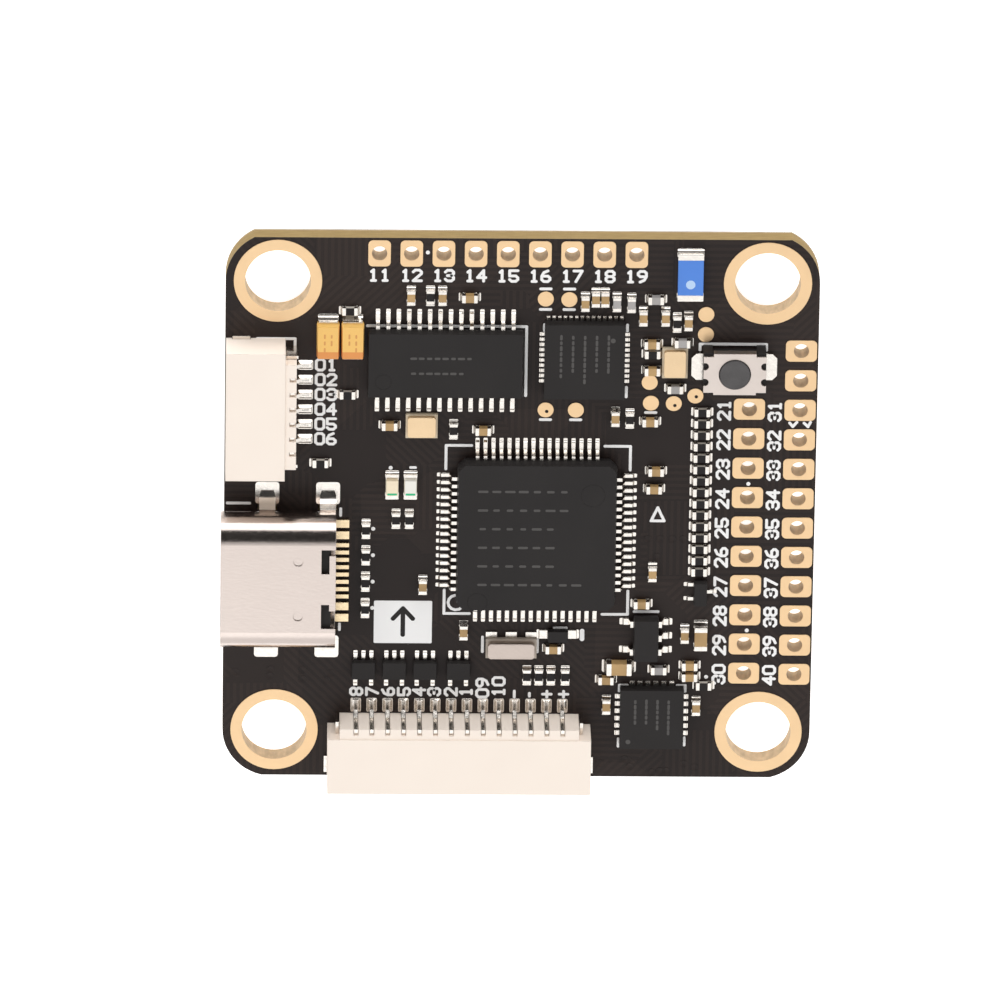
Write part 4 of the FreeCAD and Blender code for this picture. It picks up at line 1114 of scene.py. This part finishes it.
    def draw(self, runs: list[list[tuple[float, float]]], name: str, face: Face = Face.TOP,
             wide: float | None = None) -> bpy.types.Object:
        """Print runs of points as strokes with round ends.

        Args:
            runs: Runs of points on the board; a run of one point is a dot.
            name: Name of the joined strokes.
            face: Face of the board that they are printed on.
            wide: Width of the strokes, if not the usual one.

        Returns:
            The strokes as one object.
        """
        template = start_rod((wide or self.stroke) / 2)
        base = surface_height(face) - face.value * self.sink
        strokes = []
        for run in runs:
            points = [Vector((*point, base)) for point in run]
            for start, end in list(zip(points, points[1:])) or [(points[0], points[0])]:
                tall = self.sink + self.ink_thick + self.ink_step * (len(strokes) % self.ink_steps)
                strokes.append(drawn_rod(template, start, end, face, tall))
        bpy.data.objects.remove(template)
        return joined(name, strokes)

    def digits(self, label: Label, face: Face = Face.TOP) -> list[list[tuple[float, float]]]:
        """Strokes of one number, fitted to its box.

        Args:
            label: The number and its box.
            face: Face of the board that it is read on.

        Returns:
            Runs of points on the board.
        """
        long, tall = label.right - label.left, label.high - label.low
        if label.turned:
            long, tall = tall, long
        count = len(label.text)
        wide = (long - self.stroke) / (count + (count - 1) * self.digit_gap)
        runs = []
        for number, digit in enumerate(label.text):
            left = number * wide * (1 + self.digit_gap) + self.stroke / 2
            for stroke in DIGITS[digit]:
                run = []
                for column, row in stroke.split():
                    across = left + int(column) / DIGIT_COLUMNS * wide
                    up = self.stroke / 2 + int(row) / DIGIT_ROWS * (tall - self.stroke)
                    run.append(self.on_board(label, across, up, face))
                runs.append(run)
        return runs

    @staticmethod
    def on_board(label: Label, across: float, up: float, face: Face) -> tuple[float, float]:
        """Point of the board under a point of a number's own box.

        Args:
            label: The number and its box.
            across: Distance along the line of digits.
            up: Distance from the foot of the digits.
            face: Face of the board that it is read on.

        Returns:
            The point on the board.
        """
        if label.turned:
            return label.right - up, label.low + across
        if face is Face.UNDER:
            return label.right - across, label.low + up
        return label.left + across, label.low + up

    def build(self, palette: Palette) -> None:
        """Print every stroke, dot and number.

        Args:
            palette: Materials in use.
        """
        ink = palette.of(INK)
        pin_one = arc(*self.pin_one, first=40, last=320, steps=10)
        finish_piece(self.draw(self.lines() + [pin_one], "silkscreen_outlines"), ink)
        finish_piece(self.draw([[at] for at in self.dots()], "silkscreen_dots", wide=self.dot), ink)
        finish_piece(self.draw([[(4.05, -8.4), (4.05, -8.95)]], "silkscreen_cathode", wide=self.cathode), ink)
        strokes = [run for label in self.pad_numbers() + self.pin_numbers() for run in self.digits(label)]
        finish_piece(self.draw(strokes, "silkscreen_labels"), ink)
        self.underside(ink)

    def underside(self, ink: bpy.types.Material) -> None:
        """Number the pad row and frame the flash memory on the solder side.

        Args:
            ink: Material of the print.
        """
        pads = sorted((pad.centre.x for pad in solids_of("top_row_pads")), reverse=True)
        low = node_box("top_row_pads").low.y - self.under_gap
        half = self.under_wide / 2
        runs = []
        for number, x in enumerate(pads, start=1):
            label = Label(str(number), x - half, x + half, low, low + self.text_height)
            runs += self.digits(label, Face.UNDER)
        chip = node_box("flash_memory_case")
        for y in (chip.low.y - self.frame_clear, chip.high.y + self.frame_clear):
            runs.append([(chip.low.x, y), (chip.high.x, y)])
        finish_piece(self.draw(runs, "silkscreen_underside", Face.UNDER), ink)


# ---------------------------------------------------------------- solder

@dataclass
class SolderWork:
    """Tinned lands under the terminals, and the solder that climbs them."""

    land_thick: float = 0.035
    land_margin: float = 0.03
    chip_toe: float = 0.16
    chip_climb: float = 0.62
    lead_toe: float = 0.24
    lead_climb: float = 0.16
    leadless_toe: float = 0.07
    pin_land_wide: float = 0.66
    pin_land_long: float = 0.95
    pin_solder: float = 0.2
    pin_solder_share: tuple[float, float] = (0.98, 0.94)
    pin_toe: float = 0.09
    nose: float = 0.1
    tall_end: float = 0.7
    tall_toe: float = 1.5
    lead_fillet: float = 0.8
    lead_land: float = 0.55
    lead_margin: float = 0.02

    def fillet(self) -> bpy.types.Object:
        """Unit model of a concave fillet: X runs out from the terminal, Z up its face.

        Returns:
            The model.
        """
        piece = start_box("fillet", (0, -0.5, 0), (1, 0.5, 1))
        with editing(piece) as mesh:
            pick(mesh.edges, lambda e: all(v.co.x > 0.9 and v.co.z > 0.9 for v in e.verts))
            bpy.ops.transform.translate(value=(0, 0, self.nose - 1))
        with editing(piece) as mesh:
            pick(mesh.edges, lambda e: abs(e.verts[0].co.x - e.verts[1].co.x) > 0.9)
            bpy.ops.mesh.subdivide(number_cuts=3)
        for place, sag in ((0.25, 0.24), (0.5, 0.30), (0.75, 0.16)):
            with editing(piece, "VERT") as mesh:
                pick(mesh.verts, lambda v: abs(v.co.x - place) < 0.02 and v.co.z > 0.01)
                bpy.ops.transform.translate(value=(0, 0, -sag))
        with editing(piece, "VERT") as mesh:
            pick(mesh.verts, lambda v: v.co.x > 0.9)
            bpy.ops.transform.resize(value=(1, 0.8, 1))
        return piece

    def land(self) -> bpy.types.Object:
        """Unit model of a land: a thin plate with round corners, its middle at the origin.

        Returns:
            The model.
        """
        piece = start_box("land", (-0.5, -0.5, 0), (0.5, 0.5, 1))
        round_uprights(piece, 0.12, 2)
        return piece

    @staticmethod
    def outward(end: Solid, cases: list[Solid], by_share: bool) -> Vector:
        """Direction from a terminal's own case to the terminal, along X or Y.

        Args:
            end: Box of the terminal.
            cases: Boxes of the cases, of which the nearest is its own.
            by_share: True to weigh the two axes by the sides of the case.

        Returns:
            The direction.
        """
        case = min(cases, key=lambda body: (body.centre - end.centre).length)
        away = end.centre - case.centre
        sides = case.size if by_share else Vector((1, 1, 1))
        if abs(away.y) / sides.y > abs(away.x) / sides.x:
            return Vector((0, math.copysign(1, away.y), 0))
        return Vector((math.copysign(1, away.x), 0, 0))

    def chip_ends(self) -> tuple[list[Matrix], list[Matrix]]:
        """Solder of the two-terminal chips.

        Returns:
            Places of the fillets and of the lands.
        """
        fillets, lands = [], []
        pairs = [("resistor_ends", "resistor_bodies"), ("ceramic_capacitor_ends", "ceramic_capacitor_bodies"),
                 ("filter_bead_ends", "filter_bead_bodies"), ("indicator_led_ends", "indicator_led_bases"),
                 ("antenna_ends", "antenna_core"), ("tantalum_capacitor_ends", "tantalum_capacitor_cases"),
                 ("power_inductor_ends", "power_inductor_cores"), ("diode_ends", "diode_case")]
        for ends, cores in pairs:
            bodies = solids_of(cores)
            for end in solids_of(ends):
                out = self.outward(end, bodies, by_share=False)
                toe = self.chip_toe * (self.tall_toe if end.size.z > self.tall_end else 1.0)
                climb = min(end.size.z, self.tall_end) * self.chip_climb
                fillets.append(self.toe_spot(end, out, toe, climb, self.land_margin))
                lands.append(self.land_spot(end, out, toe, self.land_margin))
        return fillets, lands

    def lead_ends(self) -> tuple[list[Matrix], list[Matrix]]:
        """Solder of the leads and contacts of chips.

        Returns:
            Places of the fillets and of the lands.
        """
        fillets, lands = [], []
        leaded = [("processor_leads", "processor_case"), ("overlay_chip_leads", "overlay_chip_case"),
                  ("regulator_leads", "regulator_cases"), ("level_shifter_leads", "level_shifter_cases"),
                  ("transistor_leads", "transistor_case")]
        leadless = [("radio_chip_contacts", "radio_chip_case"),
                    ("motion_sensor_contacts", "motion_sensor_case"),
                    ("flash_memory_contacts", "flash_memory_case")]
        for leads, cases in leaded + leadless:
            toe = self.lead_toe if (leads, cases) in leaded else self.leadless_toe
            bodies = solids_of(cases)
            for lead in solids_of(leads):
                out = self.outward(lead, bodies, by_share=True)
                fillets.append(self.toe_spot(lead, out, toe * self.lead_fillet, self.lead_climb, 0.0))
                lands.append(self.land_spot(lead, out, toe, self.lead_margin, self.lead_land))
        return fillets, lands

    def pin_ends(self) -> tuple[list[Matrix], list[Matrix]]:
        """Solder of the two sockets' pins.

        Returns:
            Places of the mounds and of the lands.
        """
        mounds, lands = [], []
        land = (self.pin_land_long, self.pin_land_wide, self.land_thick)
        share_long, share_wide = self.pin_solder_share
        mound = (self.pin_land_long * share_long, self.pin_land_wide * share_wide, self.pin_solder)
        for node, out in (("side_socket_contacts", Vector((1, 0, 0))),
                          ("main_socket_contacts", Vector((0, 1, 0)))):
            for pin in solids_of(node):
                tip = abs(pin.size.dot(out)) / 2
                middle = Vector((pin.centre.x, pin.centre.y, surface_height(Face.TOP)))
                middle += out * (tip + self.pin_toe - self.pin_land_long / 2)
                lands.append(spot(middle, out, Face.TOP, land))
                mounds.append(spot(middle, out, Face.TOP, mound))
        return mounds, lands

    def mound(self) -> bpy.types.Object:
        """Unit model of a low mound of solder, its middle at the origin.

        Returns:
            The model.
        """
        piece = start_box("mound", (-0.5, -0.5, 0), (0.5, 0.5, 1))
        with editing(piece, "FACE") as mesh:
            pick(mesh.faces, lambda f: f.normal.z > 0.9)
            bpy.ops.transform.resize(value=(0.72, 0.42, 1))
        round_uprights(piece, 0.14, 3)
        round_rim(piece, 0.12, 3)
        return piece

    @staticmethod
    def toe_spot(end: Solid, out: Vector, toe: float, climb: float, margin: float) -> Matrix:
        """Spot of the fillet at the outer face of a terminal.

        Args:
            end: Box of the terminal.
            out: Direction away from the chip.
            toe: Length of the fillet along the board.
            climb: Height that the solder climbs.
            margin: Width of the fillet past each side of the terminal.

        Returns:
            The spot of the unit fillet.
        """
        half = abs(end.size.dot(out)) / 2
        wide = abs(end.size.x * out.y) + abs(end.size.y * out.x) + margin * 2
        base = surface_height(end.face)
        at = Vector((end.centre.x, end.centre.y, base)) + out * half
        return spot(at, out, end.face, (toe, wide, climb))

    def land_spot(self, end: Solid, out: Vector, toe: float, margin: float, share: float = 1.0) -> Matrix:
        """Spot of the land under a terminal and its fillet.

        Args:
            end: Box of the terminal.
            out: Direction away from the chip.
            toe: Length of the fillet along the board.
            margin: Width of the land past the terminal and the fillet.
            share: Outer share of the terminal that the land reaches under.

        Returns:
            The spot of the unit land.
        """
        span = abs(end.size.dot(out))
        wide = abs(end.size.x * out.y) + abs(end.size.y * out.x) + margin * 2
        outer = span / 2 + toe + margin
        inner = span / 2 - span * share - margin
        at = Vector((end.centre.x, end.centre.y, surface_height(end.face))) + out * (outer + inner) / 2
        return spot(at, out, end.face, (outer - inner, wide, self.land_thick))

    def build(self, palette: Palette) -> None:
        """Solder every terminal.

        Args:
            palette: Materials in use.
        """
        chip_fillets, chip_lands = self.chip_ends()
        lead_fillets, lead_lands = self.lead_ends()
        pin_mounds, pin_lands = self.pin_ends()
        for name, template, spots in (("chip_solder", self.fillet, chip_fillets),
                                      ("lead_solder", self.fillet, lead_fillets),
                                      ("chip_lands", self.land, chip_lands),
                                      ("lead_lands", self.land, lead_lands),
                                      ("pin_solder", self.mound, pin_mounds),
                                      ("pin_lands", self.land, pin_lands)):
            finish_piece(copied(template(), spots, name), palette.of(TIN))


# ---------------------------------------------------------------- shell legs

@dataclass
class ShellLegSolder:
    """Lands and solder round the four legs of the USB shell."""

    front: float = 2.9
    rear: float = 6.7
    wide: float = 1.5
    reach: float = 1.5
    climb: float = 1.0
    thick: float = 0.05
    solder_reach: float = 0.93
    solder_wide: float = 1.02

    def build(self, palette: Palette, work: SolderWork) -> None:
        """Solder the legs.

        Args:
            palette: Materials in use.
            work: Source of the unit fillet and land.
        """
        shell = node_box("usb_shell")
        fillets, lands = [], []
        for depth in (self.front, self.rear):
            for way, wall in ((1, shell.high.y), (-1, shell.low.y)):
                base = Vector((shell.low.x + depth, wall, surface_height(Face.TOP)))
                out = Vector((0, way, 0))
                fillets.append(spot(base, out, Face.TOP, (self.solder_reach, self.solder_wide, self.climb)))
                lands.append(spot(base + out * self.reach / 2, out, Face.TOP,
                                  (self.reach, self.wide, self.thick)))
        tin = palette.of(TIN)
        finish_piece(copied(work.fillet(), fillets, "shell_leg_solder"), tin)
        finish_piece(copied(work.land(), lands, "shell_leg_lands"), tin)


# ---------------------------------------------------------------- marks on the pieces

@dataclass
class Marks:
    """Etched dashes, mould circles, dots and bands on the pieces, and the printed arrow label."""

    dash_wide: float = 0.17
    printed_wide: float = 0.119
    etch_thick: float = 0.004
    circle_wide: float = 0.05
    dot_wide: float = 0.32
    antenna_dot: float = 0.6
    stripe_wide: float = 0.14
    stripe_inset: float = 0.12
    stripe_place: float = 0.1
    arrow: tuple[float, float] = (-7.22, -7.85)
    plate_long: float = 3.65
    plate_tall: float = 2.9
    plate_thick: float = 0.012
    arrow_wide: float = 0.3
    arrow_tip: float = 0.928
    arrow_tail: float = 0.87
    arrow_barb: tuple[float, float] = (0.62, -0.7)

    @staticmethod
    def dashes(case: Solid, rows: int, count: int, upright: bool = False, share: float = 0.7) -> list:
        """Rows of short dashes that stand for the marking on a chip.

        Args:
            case: Box of the chip's case.
            rows: Number of rows.
            count: Dashes in a full row.
            upright: True where the rows run along Y.
            share: Share of the case that the rows fill.

        Returns:
            Start and end point of each dash.
        """
        long, tall = (case.size.y, case.size.x) if upright else (case.size.x, case.size.y)
        step, rise = long * share / count, tall * share / rows
        marks = []
        for row in range(rows):
            up = (row - (rows - 1) / 2) * rise
            for column in range(random.randint(count * 2 // 3, count)):
                across = (column - (count - 1) / 2) * step
                half = step * random.uniform(0.12, 0.30)
                ends = [(across - half, up), (across + half, up)]
                if upright:
                    ends = [(up, -a) for a, up in ends]
                marks.append([Vector((case.centre.x + x, case.centre.y + y, case.high.z)) for x, y in ends])
        return marks

    @staticmethod
    def ring(x: float, y: float, radius: float, height: float) -> list:
        """Strokes round a circle at one height."""
        points = [Vector((*point, height)) for point in arc(x, y, radius)]
        return list(zip(points, points[1:]))

    def rods(self, name: str, marks: list, wide: float, material: bpy.types.Material) -> None:
        """Lay marks as one piece of flat strokes.

        Args:
            name: Name of the piece.
            marks: Start and end point of each stroke.
            wide: Width of the strokes.
            material: Material of the piece.
        """
        template = start_rod(wide / 2)
        made = [drawn_rod(template, start, end, Face.TOP, self.etch_thick * (1 + number % 3 / 2))
                for number, (start, end) in enumerate(marks)]
        bpy.data.objects.remove(template)
        finish_piece(joined(name, made), material)

    def chips(self, palette: Palette) -> None:
        """Mark the cases of the large chips and of the tantalum capacitors.

        Args:
            palette: Materials in use.
        """
        processor, overlay = node_box("processor_case"), node_box("overlay_chip_case")
        radio, motion = node_box("radio_chip_case"), node_box("motion_sensor_case")
        etched = self.dashes(processor, 6, 9, share=0.76) + self.dashes(overlay, 2, 9, share=0.46)
        etched += self.dashes(radio, 5, 10, upright=True, share=0.74)
        etched += self.dashes(motion, 4, 8, upright=True, share=0.7)
        self.rods("etched_dashes", etched, self.dash_wide, palette.of(ETCH))
        printed = [mark for case in solids_of("tantalum_capacitor_cases")
                   for mark in self.dashes(case, 2, 3, upright=True, share=0.6)]
        self.rods("capacitor_dashes", printed, self.printed_wide, palette.of(BROWN))
        circles = self.ring(4.55, 1.4, 0.75, processor.high.z) + self.ring(-2.6, -5.9, 0.62, processor.high.z)
        circles += self.ring(overlay.low.x + 1.0, overlay.low.y + 1.1, 0.5, overlay.high.z)
        self.rods("mould_circles", circles, self.circle_wide, palette.of(FINISHES["black_moulding"]))
        dots = [Vector((5.65, 11.67, radio.high.z)), Vector((7.03, -15.62, motion.high.z))]
        self.rods("pin_one_dots", [(dot, dot) for dot in dots], self.dot_wide, palette.of(ETCH))

    def lamps_and_antenna(self, palette: Palette) -> None:
        """Print the antenna's dot and the stripes across the lamps.

        Args:
            palette: Materials in use.
        """
        case = node_box("antenna_core")
        at = Vector((case.centre.x, case.low.y + 0.72, case.high.z))
        self.rods("antenna_dot", [(at, at)], self.antenna_dot, palette.of(PALE_BLUE))
        stripes = []
        for lens in solids_of("indicator_led_lenses"):
            start, end = lens.low.copy(), lens.high.copy()
            start.x, end.x = start.x + self.stripe_inset, end.x - self.stripe_inset
            start.y = end.y = lens.low.y + lens.size.y * self.stripe_place
            start.z = end.z
            stripes.append((start, end))
        self.rods("lamp_stripes", stripes, self.stripe_wide, palette.of(GREEN))

    def arrow_label(self, palette: Palette) -> None:
        """White printed rectangle with a plain arrow that points to the board's front.

        Args:
            palette: Materials in use.
        """
        x, y = self.arrow
        base = surface_height(Face.TOP)
        plate = start_box("arrow_label", (-0.5, -0.5, 0), (0.5, 0.5, 1))
        round_uprights(plate, 0.02, 2)
        size = (self.plate_long, self.plate_tall, self.plate_thick)
        moved(plate, spot((x, y, base), (1, 0, 0), Face.TOP, size))
        finish_piece(plate, palette.of(INK))
        height = base + self.plate_thick
        tip = Vector((x, y + self.arrow_tip, height))
        marks = [(Vector((x, y - self.arrow_tail, height)), tip)]
        across, down = self.arrow_barb
        marks += [(tip + Vector((side * across, down, 0)), tip) for side in (-1, 1)]
        self.rods("arrow_mark", marks, self.arrow_wide, palette.of(FINISHES["black_moulding"]))

    def build(self, palette: Palette) -> None:
        """Lay every mark.

        Args:
            palette: Materials in use.
        """
        self.chips(palette)
        self.lamps_and_antenna(palette)
        self.arrow_label(palette)


# ---------------------------------------------------------------- boot switch

@dataclass
class SwitchDome:
    """Sprung steel dome under the boot button, copied from the frame's."""

    joint: str = "boot_button_press"
    travel: float = 0.2
    ease: float = 0.97

    def build(self, palette: Palette) -> None:
        """Stand a copy of the frame's dome in its place.

        Args:
            palette: Materials in use.
        """
        node = frame["nodes"]["boot_switch_dome"]
        dome = node.copy()
        dome.data = node.data.copy()
        dome.name = "switch_spring_dome"
        bpy.context.scene.collection.objects.link(dome)
        with editing(dome, "VERT"):
            bpy.ops.mesh.select_all(action="SELECT")
            bpy.ops.mesh.remove_doubles(threshold=MM * 0.0005)
        finish_piece(dome, palette.of(FINISHES["dome_steel"]))
        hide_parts("boot_switch_dome")
        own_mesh(dome)


# ---------------------------------------------------------------- holes in the board

@dataclass
class Vias:
    """Masked vias, and flat dark discs of painted shade on the drilled centres of some test pads."""

    collar: float = 0.24
    pit: float = 0.11
    pit_thick: float = 0.006
    tall: float = 0.02
    drilled: tuple[tuple[float, float], ...] = ((1.6, 6.55), (9.6, 7.0), (10.93, 7.6))

    def places(self) -> list[tuple[float, float]]:
        """Places of the masked vias, which show on both faces."""
        return [(8.05, -2.1), (8.85, -2.1), (9.6, -2.1), (10.3, -2.1), (8.65, -3.3), (-17.7, -11.35),
                (-15.5, -11.15), (-15.55, -11.6), (-13.5, -11.2), (-13.5, -11.8), (-11.7, -11.4),
                (-12.0, -11.9), (5.3, -17.5), (6.85, -17.2), (7.2, -17.7), (8.6, -18.1), (9.1, -18.0),
                (9.5, -18.0), (10.6, -17.5), (11.3, -17.75)]

    def via(self) -> bpy.types.Object:
        """Unit model of a masked via: a low collar with a pit in its middle.

        Returns:
            The model.
        """
        piece = start_disc("via", self.collar, self.tall, 16)
        with editing(piece, "FACE") as mesh:
            pick(mesh.faces, lambda f: f.normal.z > 0.9)
            bpy.ops.mesh.inset(thickness=self.collar - self.pit)
            bpy.ops.transform.translate(value=(0, 0, -self.tall * 0.8))
        return piece

    def build(self, palette: Palette) -> None:
        """Make the vias, and the discs of painted shade on the pad centres.

        Args:
            palette: Materials in use.
        """
        spots = [spot((x, y, surface_height(face)), (1, 0, 0), face, (1, 1, 1))
                 for face in Face for x, y in self.places()]
        finish_piece(copied(self.via(), spots, "masked_vias"), palette.of(FINISHES["board_laminate"]))
        # The drilled centres are not cut: a thin dark disc on each pad paints the shade of its hole.
        top = node_box("test_pads").high.z
        hole_shade_spots = [spot((x, y, top), (1, 0, 0), Face.TOP, (self.pit, self.pit, self.pit_thick))
                for x, y in self.drilled]
        finish_piece(copied(start_disc("pit", 1.0, 1.0, 14), hole_shade_spots, "painted_hole_shade"), palette.of(HOLE_SHADE))


# ---------------------------------------------------------------- stage

@dataclass(frozen=True)
class Softbox:
    """Square light that faces the board's middle from one direction."""

    name: str
    lean: float
    turn: float
    distance: float
    wide: float
    strength: float

    def build(self) -> None:
        """Add the light."""
        bpy.ops.object.select_all(action="DESELECT")
        lean, turn = math.radians(self.lean), math.radians(self.turn)
        away = Vector((math.sin(lean) * math.sin(turn), math.sin(lean) * math.cos(turn), math.cos(lean)))
        bpy.ops.object.light_add(type="AREA", location=away * self.distance)
        light = bpy.context.object
        light.name = self.name
        light.rotation_euler = away.to_track_quat("Z", "Y").to_euler()
        light.data.shape = "SQUARE"
        light.data.size = self.wide
        light.data.energy = self.strength * math.pi * self.wide ** 2


@dataclass
class Studio:
    """Pale floor, soft light, and the camera."""

    tilt: float = 0.401646
    pan: float = 0.0222162
    roll: float = -0.0056491
    offset: tuple[float, float, float] = (1.22494, -0.47017, -965.4045)
    lens: float = 555.07
    surroundings: float = 1.16
    dark: float = 0.03
    dark_lean: float = 26.0
    dark_reach: float = 28.0
    dark_fade: float = 12.0
    floor_glow: float = 0.8

    def camera(self) -> None:
        """Long-lens camera above the pad row side of the board."""
        turn = Matrix.Rotation(self.roll, 3, "Z") @ Matrix.Rotation(self.pan, 3, "Y")
        turn = turn @ Matrix.Rotation(self.tilt, 3, "X")
        data = bpy.data.cameras.new("camera")
        data.lens = self.lens
        data.sensor_width = 36.0
        data.clip_start, data.clip_end = 0.01, 100.0
        camera = bpy.data.objects.new("camera", data)
        back = turn.transposed()
        camera.matrix_world = Matrix.Translation(back @ Vector(self.offset) * -MM) @ back.to_4x4()
        bpy.context.scene.collection.objects.link(camera)
        bpy.context.scene.camera = camera

    def floor(self) -> None:
        """Wide plain floor under the board's lowest pieces."""
        bpy.ops.object.select_all(action="DESELECT")
        bpy.ops.mesh.primitive_plane_add(size=6.0, location=(0, 0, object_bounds()[0].z - 0.00002))
        floor = settled("floor")
        surface = Surface("pale_floor")
        paper = surface.mix(surface.noise(0.02), (0.90, 0.90, 0.90), (0.94, 0.94, 0.94))
        surface.feed(Base_Color=paper, Roughness=0.9, Emission_Color=(1, 1, 1),
                     Emission_Strength=self.floor_glow)
        floor.data.materials.append(surface.material)
        floor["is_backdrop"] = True

    def sky(self) -> None:
        """White surroundings with one dark patch overhead, so that metal has something dark to mirror."""
        world = bpy.data.worlds.new("studio")
        world.use_nodes = True
        nodes = Nodes(world.node_tree)
        lean = math.radians(self.dark_lean)
        inner = math.cos(math.radians(self.dark_reach))
        outer = math.cos(math.radians(self.dark_reach + self.dark_fade))
        direction = nodes.node("ShaderNodeTexCoord", output="Generated")
        nearness = nodes.node("ShaderNodeVectorMath", {"operation": "DOT_PRODUCT"},
                              {0: direction, 1: (0, math.sin(lean), math.cos(lean))}, "Value")
        shadow = nodes.node("ShaderNodeMapRange", None, {0: nearness, 1: outer, 2: inner})
        background = world.node_tree.nodes["Background"]
        patch = (self.dark, self.dark, self.dark)
        nodes.join(nodes.mix(shadow, (1, 1, 1), patch), background.inputs["Color"])
        nodes.join(self.surroundings, background.inputs["Strength"])
        bpy.context.scene.world = world

    def build(self) -> None:
        """Set the stage."""
        bpy.context.scene.view_settings.view_transform = "Standard"
        self.camera()
        self.floor()
        self.sky()
        Softbox("key", lean=40, turn=205, distance=0.8, wide=0.5, strength=0.7).build()
        Softbox("fill", lean=70, turn=0, distance=0.9, wide=0.6, strength=2.1).build()


# ---------------------------------------------------------------- main


def main() -> None:
    """Build the looks around the frame."""
    logging.basicConfig(level=logging.INFO, format="%(name)s %(message)s")
    random.seed(5)
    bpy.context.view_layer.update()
    studio = Studio()
    studio.build()
    palette = Palette()
    palette.dress_frame()
    Silkscreen().build(palette)
    work = SolderWork()
    work.build(palette)
    ShellLegSolder().build(palette, work)
    Marks().build(palette)
    SwitchDome().build(palette)
    Vias().build(palette)


if __name__ == "__main__":
    main()
